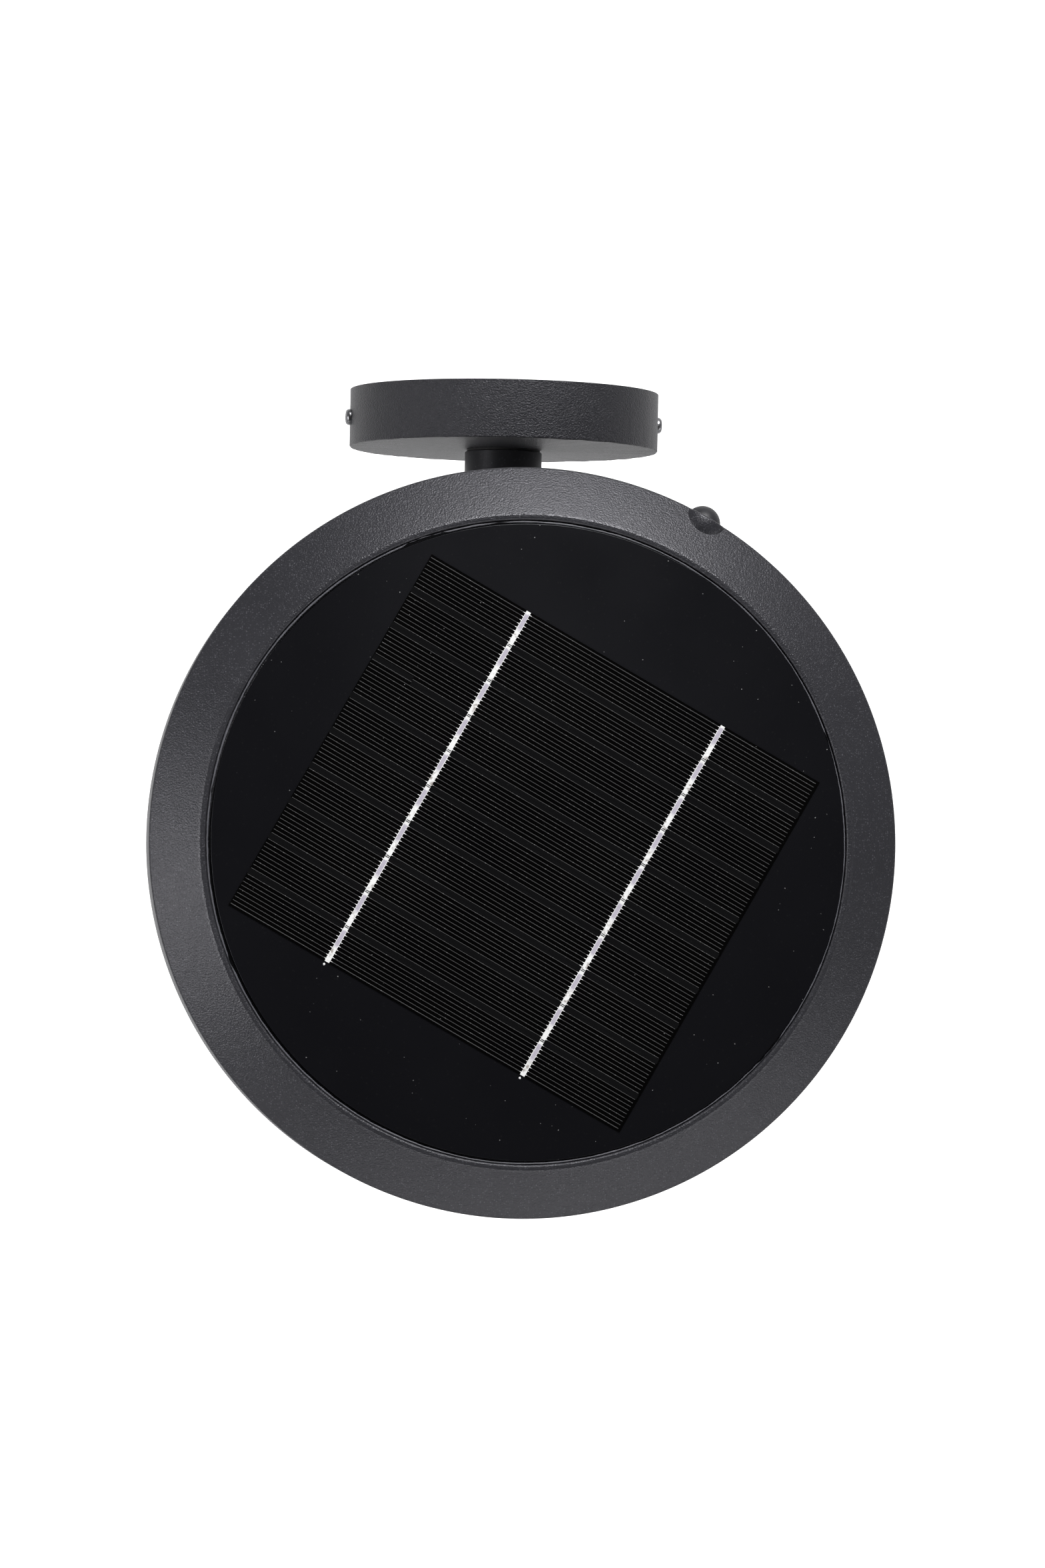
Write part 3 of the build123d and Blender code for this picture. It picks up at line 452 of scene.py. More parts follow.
edge_level = flat_face - hood_edge
edge_turn = math.asin((edge_level - hood_centre) / (hood_radius - hood_edge))
edge_reach = math.sqrt((hood_radius - hood_edge) ** 2 - (edge_level - hood_centre) ** 2)
back_turn = math.radians(-56)
back_level = (hood_centre + hood_radius * math.sin(back_turn)) * MM
work = bmesh.new()
back_corner = work.verts.new((hood_radius * math.cos(back_turn) * MM, 0, back_level))
work.edges.new((work.verts.new((0, 0, back_level)), back_corner))
last = sweep(work, back_corner, 0, hood_centre, edge_turn - back_turn, 30)
last = sweep(work, last, edge_reach, edge_level, math.pi / 2 - edge_turn, 8)
work.edges.new((last, work.verts.new((0, 0, flat_face * MM))))
spin_profile(work, 120)
carve(hat_shell, cutter("hood", work), "UNION")

work = bmesh.new()
rod = bmesh.ops.create_cone(work, cap_ends=True, segments=96, radius1=2 * hood_radius * MM,
                            radius2=2 * hood_radius * MM, depth=(rim + 0.5 - flat_face) * MM)
bmesh.ops.translate(work, verts=rod["verts"], vec=(0, 0, (flat_face + rim + 0.5) / 2 * MM))
carve(hat_shell, cutter("flat", work), "DIFFERENCE")

work = bmesh.new()
wire(work, in_metres([(0, bore_start), (bore_radius, bore_start), (bore_radius, neck_end),
                      (mouth_radius, neck_end), (mouth_radius, rim + 2), (0, rim + 2)]),
     closed=False)
spin_profile(work, 96)
carve(hat_shell, cutter("bore", work), "DIFFERENCE")
smooth(hat_shell.data)
print("hood turned from", round(math.degrees(back_turn)), "to", round(math.degrees(edge_turn), 1),
      "degrees, then its edge")

# %% [markdown]
# Where the hood meets the collar the two faces turn by only a little, and smooth shading would
# smear across the long collar faces. Marking every small turn sharp would also break up the
# rounded lip. The seam's edges all lie on the hood's ball, so only edges on it are made sharp.

# %% Seam round the hood
seam_turn = math.radians(6)
seam_reach = 0.03
to_button = button_frame.inverted()
ball_centre = Vector((0, 0, hood_centre * MM))
work = bmesh.new()
work.from_mesh(hat_shell.data)
seam = 0
for edge in work.edges:
    if len(edge.link_faces) == 2 and edge.calc_face_angle(0) > seam_turn:
        reach = [((to_button @ v.co) - ball_centre).length / MM for v in edge.verts]
        if all(abs(r - hood_radius) < seam_reach for r in reach):
            edge.smooth = False
            seam += 1
work.to_mesh(hat_shell.data)
work.free()
print("hat shell with hood:", len(hat_shell.data.polygons), "faces,", seam, "seam edges")

# %% [markdown]
# The button is a hemispherical rubber cap. A ready-made sphere would have to be cut and joined to
# its neck. Here a half profile spun about its own line gives the dome, the straight neck that
# runs in the bore and the flange that keeps it from falling out, all in one closed skin.

# %% Button cap
dome_radius = 6.2
dome_centre = rim - 2.3
cap_flange = 1.0
flange_radius = dome_radius + 0.9
flange_back = neck_end - 0.05 - cap_flange
work = bmesh.new()
neck = wire(work, in_metres([(0, flange_back), (flange_radius, flange_back),
                             (flange_radius, flange_back + cap_flange),
                             (dome_radius, flange_back + cap_flange),
                             (dome_radius, dome_centre)]), closed=False)
sweep(work, neck[-1], 0, dome_centre, math.pi / 2, 20)
spin_profile(work, 96)
bmesh.ops.transform(work, matrix=button_frame, verts=work.verts)
keep(work, "button_dome", "mode_button", "button_rubber", "button_cap")

# %% [markdown]
# The solar panel is a black board under a thin clear resin. Its edge is ground to a small bevel
# that just catches light, so a plain disc gets its top edge bevelled. It sits a little to one
# side in its pocket, as its own box says.

# %% Panel board
work = bmesh.new()
bmesh.ops.create_cone(work, cap_ends=True, segments=300, radius1=panel_radius,
                      radius2=panel_radius, depth=panel_high.z - panel_low.z)
bmesh.ops.translate(work, verts=work.verts, vec=panel_middle)
top_edge = [e for e in work.edges if all(v.co.z > panel_high.z - 1e-5 for v in e.verts)]
bmesh.ops.bevel(work, geom=top_edge, offset=0.25 * MM, segments=3, profile=0.5,
                affect="EDGES", material=-1)
keep(work, "panel_board", "lamp", "panel_black", "solar_backing")

# %% [markdown]
# A bead of grey sealant fills the gap between the panel and the lip. It was run by hand, so its
# inner edge wanders and has a few nicks, and it leaves a hair of dark gap along the lip. A swept
# curve would keep one width all round. Instead the bead starts as a rounded profile spun one unit
# wide. Each point is then pushed to its place between the panel's edge and the lip's wall, with
# noise on both sides.

# %% Sealant bead
bead_profile = [(0.0, -0.4), (0.0, -0.05), (0.06, 0.0), (0.14, 0.16), (0.3, 0.26), (0.55, 0.30),
                (0.8, 0.27), (0.93, 0.18), (1.0, 0.02), (1.0, -0.4)]
# Each nick has its bearing and its half width in degrees, and its depth in millimetres.
bead_nicks = [(110, 2.2, 0.9), (113.0, 0.7, 0.5), (106.5, 0.5, 0.5), (-38, 1.8, 0.55),
              (-41.5, 0.8, 0.5), (203, 1.4, 0.5), (172, 0.6, 0.5), (96, 1.0, 0.35),
              (20, 1.2, 0.3), (60, 1.6, -0.25)]
bead_radius = 110.25
bead_middle = Vector((0.05, -0.15, 0)) * MM
bead_gap = 0.12
bead_gap_swing = 0.18
widest_gap = math.radians(60)
work = bmesh.new()
wire(work, [(1 + across, rise * MM) for across, rise in bead_profile])
spin_profile(work, 720)
for v in work.verts:
    across = math.hypot(v.co.x, v.co.y) - 1
    turn = math.atan2(v.co.y, v.co.x)
    way = Vector((math.cos(turn), math.sin(turn), 0))
    wander = 0.20 * noise.noise(way * 5) + 0.13 * noise.noise(way * 30) \
        + 0.08 * noise.noise(way * 110)
    outer_wander = 0.16 * noise.noise(way * 14 + Vector((5, 0, 0))) + 0.10 * noise.noise(way * 70)
    for bearing, width, nick_depth in bead_nicks:
        apart = (math.degrees(turn) - bearing + 180) % 360 - 180
        wander -= nick_depth * math.exp(-(apart / width) ** 2)
    inner_radius = (bead_radius - wander) * MM + bead_middle.dot(way)
    outer_gap = bead_gap + bead_gap_swing * (1 + math.cos(turn - widest_gap))
    outer_radius = (pocket - outer_gap - max(outer_wander, -0.1)) * MM
    radius = inner_radius + (outer_radius - inner_radius) * across
    lift = v.co.z
    if v.co.z > 1e-5:
        lift += 0.07 * noise.noise(way * 18 + Vector((0, 0, 3))) * MM
    v.co = head_line + way * radius + Vector((0, 0, panel_high.z + lift))
bmesh.ops.recalc_face_normals(work, faces=work.faces)
keep(work, "sealant_bead", "lamp", "sealant_grey", "panel_sealant", sharp=60)

# %% [markdown]
# Ten silicon strips lie on the board with a hair of space between them. Their CAD shapes are
# right and stay. What makes them look like a solar cell is printed on top: nine fine silver
# fingers along each strip. They are real raised lines here, one thin bar repeated, because a line
# this thin shimmers if it is only painted. On the third strip the last finger has slipped
# sideways at its left end, as it has on the real cell.

# %% Fingers
strips = [f"solar_cell_{n:02d}" for n in range(1, 11)]
field_middle = sum((middle(name) for name in strips), Vector()) / len(strips)
across_strips = (middle(strips[0]) - middle(strips[-1])).normalized()
along_strips = Vector((across_strips.y, -across_strips.x, 0))
strip_pitch = (middle(strips[0]) - middle(strips[-1])).length / (len(strips) - 1)
cell_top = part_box(strips[0])[1].z
cell_frame = Matrix.Translation((field_middle.x, field_middle.y, cell_top)) @ Matrix(
    [[along_strips.x, across_strips.x, 0], [along_strips.y, across_strips.y, 0],
     [0, 0, 1]]).to_4x4()
finger_pitch = 1.4435
fingers_each = 9
finger_length = 154.6
finger_shift = -0.35
finger_width = 0.18
outermost_width = 0.24
finger_height = 0.03
slipped_finger = (2, 8)
slipped_to = -62.0
slip = 1.0
strips_half = (len(strips) - 1) / 2
fingers_half = (fingers_each - 1) / 2
field_half = ((len(strips) - 1) * strip_pitch / MM + (fingers_each - 1) * finger_pitch) / 2


def bar(work, centre, size):
    """Box along the work's own axes, in millimetres. On the cells, x runs along the strips."""
    shape = bmesh.ops.create_cube(work, size=1.0)["verts"]
    bmesh.ops.scale(work, vec=Vector(size) * MM, verts=shape)
    bmesh.ops.translate(work, vec=Vector(centre) * MM, verts=shape)
    return shape


def run(work, start, end, place, width, height):
    """Flat bar on the cells from start to end along the strips."""
    bar(work, ((start + end) / 2, place, height / 2), (end - start, width, height))


def keep_on_cells(work, name, slot, *nodes):
    """Lay what was drawn in the cell field's own directions on the cells, and keep it."""
    bmesh.ops.transform(work, matrix=cell_frame, verts=work.verts)
    keep(work, name, "lamp", slot, *nodes)


finger_lines = [
    (number, line, (strips_half - number) * strip_pitch / MM + (fingers_half - line) * finger_pitch)
    for number in range(len(strips)) for line in range(fingers_each)]
gap_places = [(strips_half - 0.5 - number) * strip_pitch / MM for number in range(len(strips) - 1)]
work = bmesh.new()
for number, line, place in finger_lines:
    outermost = (number, line) in ((0, 0), (len(strips) - 1, fingers_each - 1))
    width = outermost_width if outermost else finger_width
    start, end = -finger_length / 2 + finger_shift, finger_length / 2 + finger_shift
    if (number, line) == slipped_finger:
        run(work, start, slipped_to, place - slip, width, finger_height)
        start = slipped_to
    run(work, start, end, place, width, finger_height)
keep_on_cells(work, "cell_fingers", "tinned_ribbon")
print("finger field", finger_length, "by", round(2 * field_half, 2), "mm")

# %% [markdown]
# Between two strips the fingers stand wider apart. There a soft, slightly paler band is painted
# in, a painted sheen for the light that the strips' overlapping edges catch. A mask in the cells'
# material could fade it in, but it would have to know about the slipped finger. A thin flat strip
# in every gap does without, and in the third gap the band simply steps aside where the finger has
# slipped.

# %% Painted sheen bands
band_height = 0.008
band_over = 0.4
gap_width = strip_pitch / MM - (fingers_each - 1) * finger_pitch
band_width = gap_width - 0.5
# Each band is a flat strip of paler grey: painted sheen for light on the strips' edges.
work = bmesh.new()
for number, place in enumerate(gap_places):
    start = -finger_length / 2 + finger_shift - band_over
    end = finger_length / 2 + finger_shift + band_over
    if number == slipped_finger[0]:
        above = place + gap_width / 2 + finger_pitch / 2 - slip / 2 - 0.2
        bar(work, ((start + slipped_to) / 2, above, band_height / 2),
            (slipped_to - start - band_over, band_width, band_height))
        start = slipped_to
    run(work, start, end, place, band_width, band_height)
keep_on_cells(work, "painted_sheen_bands", "cell_silicon")

# %% [markdown]
# Two tinned ribbons carry the current across the strips. Solder has crept out along each finger
# as a tiny barb, and the ribbon wavers a little in width and height as soft tin does. A fine grid
# is moved by slow noise and given a thickness, and each barb is a small bar pinched at its tip.

# %% Ribbons
ribbon_width = 1.7
ribbon_over = 0.9
ribbon_rows = 160
ribbon_reach = 39.0
barb_root = 0.8
ribbon_top = (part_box("cell_ribbon_right")[1].z - cell_top) / MM


def wobble(seed, place, scale):
    return noise.noise(Vector((seed * 7.3, place * scale, 0.4)))


for name in ("ribbon_left", "ribbon_right"):
    side = (cell_frame.inverted() @ middle("cell_" + name)).x / MM
    work = bmesh.new()
    bmesh.ops.create_grid(work, x_segments=4, y_segments=ribbon_rows, size=0.5)
    bmesh.ops.scale(work, vec=(ribbon_width, 2 * (field_half + ribbon_over), 1), verts=work.verts)
    for v in work.verts:
        v.co.x *= 1 + 0.10 * wobble(side, v.co.y, 0.35)
        v.co.x += side + 0.10 * wobble(side + 1, v.co.y, 0.12)
        v.co.z = ribbon_top + 0.05 * wobble(side + 2, v.co.y + v.co.x, 0.5)
        v.co = v.co * MM
    walls = bmesh.ops.extrude_face_region(work, geom=work.faces[:])
    low = [g for g in walls["geom"] if isinstance(g, bmesh.types.BMVert)]
    bmesh.ops.translate(work, vec=(0, 0, -ribbon_top * MM), verts=low)
    for _, _, place in finger_lines:
        for way in (-1, 1):
            reach = 0.75 + 0.45 * wobble(side + 3 + way, place, 3.1)
            barb = bar(work, (side + way * (barb_root + reach / 2), place, 0.05),
                       (reach + 0.1, 0.34, 0.08))
            tip = [v for v in barb if (v.co.x / MM - side) * way > barb_root + reach / 2]
            bmesh.ops.scale(work, vec=(1, 0.3, 0.4), verts=tip,
                            space=Matrix.Translation((0, -place * MM, 0)))
    keep_on_cells(work, name, "tinned_ribbon", "cell_" + name)

# %% [markdown]
# At every step from strip to strip the ribbon carries two short dark nicks, where the soldering
# tip lifted. They are tiny bars on the ribbon, because cuts in so thin a sheet would not show.
# The solder dots past the lower ends are little balls pressed flat.

# %% Solder marks
nick_size = (1.5, 0.26, 0.05)
nick_steps = ((-0.05, -0.05), (0.50, 0.1))
dot_places = (-39.4, 38.7)
dot_radius = 0.42
work = bmesh.new()
for side in (-ribbon_reach, ribbon_reach):
    for place in gap_places:
        for step, shift in nick_steps:
            bar(work, (side + shift, place + step, ribbon_top + 0.03), nick_size)
keep_on_cells(work, "ribbon_nicks", "panel_black")
work = bmesh.new()
for side in dot_places:
    ball = bmesh.ops.create_uvsphere(work, u_segments=16, v_segments=8,
                                     radius=dot_radius * MM)["verts"]
    bmesh.ops.scale(work, vec=(1, 1, 0.35), verts=ball)
    bmesh.ops.translate(work, vec=(side * MM, -(field_half + 2.0) * MM, 0), verts=ball)
keep_on_cells(work, "solder_dots", "tinned_ribbon")

# %% [markdown]
# The wall plate is a shallow cast cup. Its front edge was dressed by hand before coating, so it
# wanders by a tenth of a millimetre or two. Bump can't move an outline, so the turned shell's own
# points along that edge are moved by slow noise.

# %% Wall plate
plate_wall = 2
dressed_reach = 1.5
depth = (plate_high.y - plate_low.y) / MM
outer = plate_radius / MM
plate_inner = outer - plate_wall
plate_corners = [(0, depth), (0, depth - plate_wall), (plate_inner, depth - plate_wall),
                 (plate_inner, 0), (outer, 0), (outer, depth)]
along_stem = Matrix.Rotation(math.radians(90), 4, "X")


def turned_on_axis(corners, rounds, steps):
    """Closed disc or cup: the part of the profile on the axis is dropped before the spin."""
    work = bmesh.new()
    wire_profile(work, corners, rounds)
    on_axis = [e for e in work.edges if all(abs(v.co.x) < 1e-7 for v in e.verts)]
    bmesh.ops.delete(work, geom=on_axis, context="EDGES")
    spin_profile(work, steps)
    return work


work = turned_on_axis(plate_corners, {5: (0.55, 5), 2: (0.6, 3)}, 320)
for v in work.verts:
    radius = math.hypot(v.co.x, v.co.y) / MM
    if radius > outer - dressed_reach and v.co.z / MM > depth - dressed_reach:
        way = Vector((v.co.x, v.co.y, 0)).normalized()
        sink = 0.16 * (noise.noise(way * 9) + 0.6 * noise.noise(way * 26)) - 0.12
        v.co.z += min(sink, 0) * MM
        v.co -= way * 0.10 * abs(noise.noise(way * 17)) * MM
bmesh.ops.transform(work, matrix=along_stem, verts=work.verts)
keep(work, "plate_cover", "lamp", "anthracite_plate", "wall_plate")

# %% [markdown]
# The stem is a plain tube that meets the plate on a thin rubber seal. Only its rounded end edges
# differ from a bare pipe, so its wall is drawn as a small rectangle with two rounded corners and
# spun.

# %% Stem
tube_wall = 2
tube_round = (0.25, 3)
stem_low, stem_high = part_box("stem_tube")
stem_radius = (stem_high.x - stem_low.x) / 2 / MM
stem_length = (stem_high.y - stem_low.y) / MM
stem_corners = [(stem_radius - tube_wall, 0), (stem_radius, 0), (stem_radius, stem_length),
                (stem_radius - tube_wall, stem_length)]
work = bmesh.new()
wire_profile(work, stem_corners, {1: tube_round, 2: tube_round})
spin_profile(work, 128)
bmesh.ops.transform(work, matrix=Matrix.Translation((0, stem_high.y, 0)) @ along_stem,
                    verts=work.verts)
keep(work, "stem", "lamp", "anthracite_tube", "stem_tube")

# %% [markdown]
# The light cone under the hat is one frosted moulding, a wide funnel closed at its foot. Its wall
# is spun from the same profile as the drawing's, with soft rounds where the mould would have
# them. The wall is real, because light is to scatter in it.

# %% Light cone
cone_wall = 2.4
cone_foot = 54.6
flange_thick = 3.2
flange_across = 17
mouth_step = 3.2
cone_low, cone_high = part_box("diffuser")
flange = (cone_high.x - cone_low.x) / 2 / MM
mouth = flange - mouth_step
foot_z = cone_low.z / MM
top_z = cone_high.z / MM
mouth_z = top_z - flange_thick
cone_slope = (mouth - cone_foot) / (mouth_z - foot_z)
through = cone_wall * math.hypot(1, cone_slope)
cone_corners = [(0, foot_z), (cone_foot, foot_z), (mouth, mouth_z), (flange, mouth_z),
                (flange, top_z), (flange - flange_across, top_z),
                (flange - flange_across, mouth_z), (mouth - through, mouth_z),
                (cone_foot + cone_wall * cone_slope - through, foot_z + cone_wall),
                (0, foot_z + cone_wall)]
work = turned_on_axis(cone_corners, {1: (1.2, 5), 3: (0.5, 3), 4: (0.5, 3), 8: (1.5, 4)}, 200)
bmesh.ops.translate(work, verts=work.verts, vec=head_line)
keep(work, "light_cone", "lamp", "frosted_plastic", "diffuser")

# %% [markdown]
# Every screw that shows is the same pan head: the two in the plate's side, six under the hat and
# three under the cup. The head is a turned dome with a cross-shaped recess, which two tapered
# bars cut out of it. One head is made once and copied to every seat, with its cross turned
# differently each time, as screws end up by hand.

# %% Pan heads
head_radius = 2.9
head_height = 1.8
shank_radius = 1.4
shank_length = 3.0


def pan_head():
    """Mesh of a screw that stands on z = 0 with its head above and its shank below."""
    work = turned_on_axis(
        [(0, -shank_length), (shank_radius, -shank_length), (shank_radius, 0), (head_radius, 0),
         (head_radius, head_height), (0, head_height)], {4: (head_height * 0.75, 6)}, 40)
    screw = put("pan_head", mesh_of(work, "pan_head"))
    for turn in (0, 90):
        work = bmesh.new()
        slot = bar(work, (0, 0, 0), (head_radius * 1.15, head_radius * 0.26, head_height * 1.3))
        low = [v for v in slot if v.co.z < 0]
        bmesh.ops.scale(work, vec=(0.45, 0.8, 1), verts=low)
        bmesh.ops.translate(work, vec=(0, 0, head_height * 1.05 * MM), verts=slot)
        bmesh.ops.rotate(work, cent=(0, 0, 0), verts=slot,
                         matrix=Matrix.Rotation(math.radians(turn), 3, "Z"))
        carve(screw, put("driver", mesh_of(work, "driver")), "DIFFERENCE")
    mesh = screw.data
    bpy.data.objects.remove(screw)
    return mesh


head_mesh = pan_head()
print("pan head:", len(head_mesh.polygons), "faces")


def facing(place, normal, twist):
    """Matrix that puts a screw's seat at a place, looking along a normal, its cross turned."""
    turned = Vector(normal).to_track_quat("Z", "Y").to_matrix().to_4x4()
    return Matrix.Translation(place) @ turned @ Matrix.Rotation(math.radians(twist), 4, "Z")


def screw_circle(node, radius, count, start):
    """Seats on a circle round the head's middle line, with the heads looking down."""
    seat_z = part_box(node)[0].z + head_height * MM
    seats = []
    for number in range(count):
        turn = math.radians(start + number * 360 / count)
        place = head_line + Vector((math.cos(turn), math.sin(turn), 0)) * (radius * MM)
        seats.append(facing(place + Vector((0, 0, seat_z)), (0, 0, -1), 37 * number))
    return seats


def set_of_screws(name, node, seats):
    """One piece that holds a pan head at each seat: seats are matrices."""
    work = bmesh.new()
    for seat_frame in seats:
        before = set(work.verts)
        work.from_mesh(head_mesh)
        fresh = [v for v in work.verts if v not in before]
        bmesh.ops.transform(work, matrix=seat_frame, verts=fresh)
    keep(work, name, "lamp", "screw_steel", node)


side_y = middle("plate_side_screws").y
button_bearing = math.degrees(math.atan2(button_line.y, button_line.x))
set_of_screws("side_screws", "plate_side_screws",
              [facing((side * plate_radius, side_y, 0), (side, 0, 0), 20 + 30 * side)
               for side in (-1, 1)])
set_of_screws("cover_screws", "hat_cover_screws",
              screw_circle("hat_cover_screws", rim - 12.0, 6, button_bearing + 30))
set_of_screws("cap_screws", "base_cap_screws", screw_circle("base_cap_screws", 35.0, 3, -90))

# %% [markdown]
# Now the finishes. Grain, specks and slow colour drift are needed on most of them, dust on the
# panel, and a ring round the hat's middle line on two of them. Each is a node group that puts out
# only masks, values or a height. It is built once and placed in each material with its own
# numbers, and the Principled shader stays in the material itself.

# %% Shared effects
def group_with(name, inputs, outputs):
    """Shader node group of plain numbers: inputs maps each name to its usual value."""
    made = bpy.data.node_groups.new(name, "ShaderNodeTree")
    for label, value in inputs.items():
        socket = made.interface.new_socket(label, in_out="INPUT", socket_type="NodeSocketFloat")
        socket.default_value = value
    for label in outputs:
        made.interface.new_socket(label, in_out="OUTPUT", socket_type="NodeSocketFloat")
    given = node_at(made, "NodeGroupInput", (-900, 0)).outputs
    result = node_at(made, "NodeGroupOutput", (900, 0)).inputs
    return made, given, result


def rated(tree, socket, place):
    """Turn a size in millimetres into a texture scale."""
    rate = math_at(tree, "DIVIDE", place, 1000.0)
    link(tree, (socket, rate.inputs[1]))
    return rate.outputs[0]


grain_group, given, result = group_with(
    "coat_grain", {"Grain size": 0.5, "Speck spacing": 0.9, "Speck share": 0.1},
    ["Height", "Speck", "Drift"])
tree = grain_group
place = node_at(tree, "ShaderNodeTexCoord", (-900, 300)).outputs["Object"]
fine = node_at(tree, "ShaderNodeTexNoise", (-480, 200), Detail=2.0, Roughness=0.55)
coarse = node_at(tree, "ShaderNodeTexNoise", (-480, -100), Detail=3.0, Scale=28.0)
spots = node_at(tree, "ShaderNodeTexVoronoi", (-480, -380))
level = node_at(tree, "ShaderNodeSeparateColor", (-280, -460))
near = node_at(tree, "ShaderNodeMapRange", (-60, -300), From_Min=0.42, From_Max=0.22)
bare = math_at(tree, "SUBTRACT", (-280, -620), 1.0)
chosen = node_at(tree, "ShaderNodeMapRange", (-60, -560))
both = math_at(tree, "MULTIPLY", (200, -400))
link(tree, (place, fine.inputs["Vector"]), (place, coarse.inputs["Vector"]),
     (place, spots.inputs["Vector"]),
     (rated(tree, given["Grain size"], (-700, 100)), fine.inputs["Scale"]),
     (rated(tree, given["Speck spacing"], (-700, -300)), spots.inputs["Scale"]),
     (spots.outputs["Color"], level.inputs[0]), (spots.outputs["Distance"], near.inputs[0]),
     (given["Speck share"], bare.inputs[1]), (level.outputs[0], chosen.inputs[0]),
     (bare.outputs[0], chosen.inputs["From Min"]), (near.outputs[0], both.inputs[0]),
     (chosen.outputs[0], both.inputs[1]), (fine.outputs[0], result["Height"]),
     (both.outputs[0], result["Speck"]), (coarse.outputs[0], result["Drift"]))

dust_group, given, result = group_with("dust", {"Spacing": 6.0, "Size": 0.06}, ["Dust"])
tree = dust_group
place = node_at(tree, "ShaderNodeTexCoord", (-900, 300)).outputs["Object"]
spots = node_at(tree, "ShaderNodeTexVoronoi", (-480, 100))
patch = node_at(tree, "ShaderNodeTexNoise", (-480, -200), Scale=45.0, Detail=2.0)
level = node_at(tree, "ShaderNodeSeparateColor", (-280, -20))
near = math_at(tree, "LESS_THAN", (-200, 160))
some = math_at(tree, "GREATER_THAN", (-200, -200), None, 0.47)
both = math_at(tree, "MULTIPLY", (60, 0))
shaded = math_at(tree, "MULTIPLY", (240, 0))
link(tree, (place, spots.inputs["Vector"]), (place, patch.inputs["Vector"]),
     (rated(tree, given["Spacing"], (-700, 0)), spots.inputs["Scale"]),
     (spots.outputs["Distance"], near.inputs[0]), (spots.outputs["Color"], level.inputs[0]),
     (given["Size"], near.inputs[1]), (patch.outputs[0], some.inputs[0]),
     (near.outputs[0], both.inputs[0]), (some.outputs[0], both.inputs[1]),
     (both.outputs[0], shaded.inputs[0]), (level.outputs[1], shaded.inputs[1]),
     (shaded.outputs[0], result["Dust"]))

ring_group, given, result = group_with("ring_about_hat", {"Radius": 110.0, "Width": 0.5}, ["Ring"])
tree = ring_group
place = node_at(tree, "ShaderNodeTexCoord", (-1100, 0)).outputs["Object"]
flatten = node_at(tree, "ShaderNodeMapping", (-920, 0), vector_type="POINT",
                  Scale=(1 / MM, 1 / MM, 0), Location=(-head_line.x / MM, -head_line.y / MM, 0))
reach = node_at(tree, "ShaderNodeVectorMath", (-740, 0), operation="LENGTH")
breaks = node_at(tree, "ShaderNodeTexNoise", (-740, -220), Scale=420.0, Detail=3.0)
offset = math_at(tree, "SUBTRACT", (-560, 0))
apart = math_at(tree, "ABSOLUTE", (-400, 0))
band = node_at(tree, "ShaderNodeMapRange", (-220, 0), From_Max=0.0)
patchy = node_at(tree, "ShaderNodeMapRange", (-220, -260), From_Min=0.35, From_Max=0.60,
                 To_Min=0.45)
both = math_at(tree, "MULTIPLY", (0, 0))
link(tree, (place, flatten.inputs["Vector"]), (flatten.outputs[0], reach.inputs[0]),
     (place, breaks.inputs["Vector"]), (reach.outputs["Value"], offset.inputs[0]),
     (given["Radius"], offset.inputs[1]), (offset.outputs[0], apart.inputs[0]),
     (apart.outputs[0], band.inputs[0]), (given["Width"], band.inputs["From Min"]),
     (breaks.outputs[0], patchy.inputs[0]), (band.outputs[0], both.inputs[0]),
     (patchy.outputs[0], both.inputs[1]), (both.outputs[0], result["Ring"]))
print("shared effects:", grain_group.name, dust_group.name, ring_group.name)

# %% [markdown]
# A small recipe builds most finishes from the grain group: a base colour that drifts between two
# shades, specks of a third, and a bump from the grain. Two dozen node trees laid by hand would
# differ only in a few numbers, so one function lays them and a list holds the numbers. What is
# special about a finish is added to it afterwards.

# %% Finish recipe
def coated(name, dark, light, speck, grain, speck_share, roughness, bump, specular=0.5,
           metallic=0.0, coat=0.0, sheen=(1.0, 1.0, 1.0), spacing=0.9, relief_share=0.3):
    """Material with grain, specks and drift: grain and spacing are sizes in millimetres."""
    made = bare_material(name)
    tree = made.node_tree
    effect = node_at(tree, "ShaderNodeGroup", (-700, 0), node_tree=grain_group,
                     Grain_size=grain, Speck_spacing=spacing, Speck_share=speck_share)
    shades = node_at(tree, "ShaderNodeMix", (-420, 200), data_type="RGBA",
                     A=(*dark, 1), B=(*light, 1))
    specks = node_at(tree, "ShaderNodeMix", (-200, 200), data_type="RGBA", B=(*speck, 1))
    rough = node_at(tree, "ShaderNodeMapRange", (-420, -120), To_Min=max(roughness - 0.06, 0.02),
                    To_Max=min(roughness + 0.06, 1.0))
    relief = node_at(tree, "ShaderNodeBump", (-200, -320), Strength=bump,
                     Distance=grain * relief_share * MM)
    shader = node_at(tree, "ShaderNodeBsdfPrincipled", (60, 0), Metallic=metallic,
                     Specular_IOR_Level=specular, Specular_Tint=(*sheen, 1), Coat_Weight=coat)
    out = node_at(tree, "ShaderNodeOutputMaterial", (360, 0))
    link(tree, (effect.outputs["Drift"], shades.inputs[0]),
         (shades.outputs["Result"], specks.inputs["A"]),
         (effect.outputs["Speck"], specks.inputs[0]),
         (specks.outputs["Result"], shader.inputs["Base Color"]),
         (effect.outputs["Drift"], rough.inputs[0]), (rough.outputs[0], shader.inputs["Roughness"]),
         (effect.outputs["Height"], relief.inputs["Height"]),
         (relief.outputs[0], shader.inputs["Normal"]), (shader.outputs[0], out.inputs[0]))
    return made


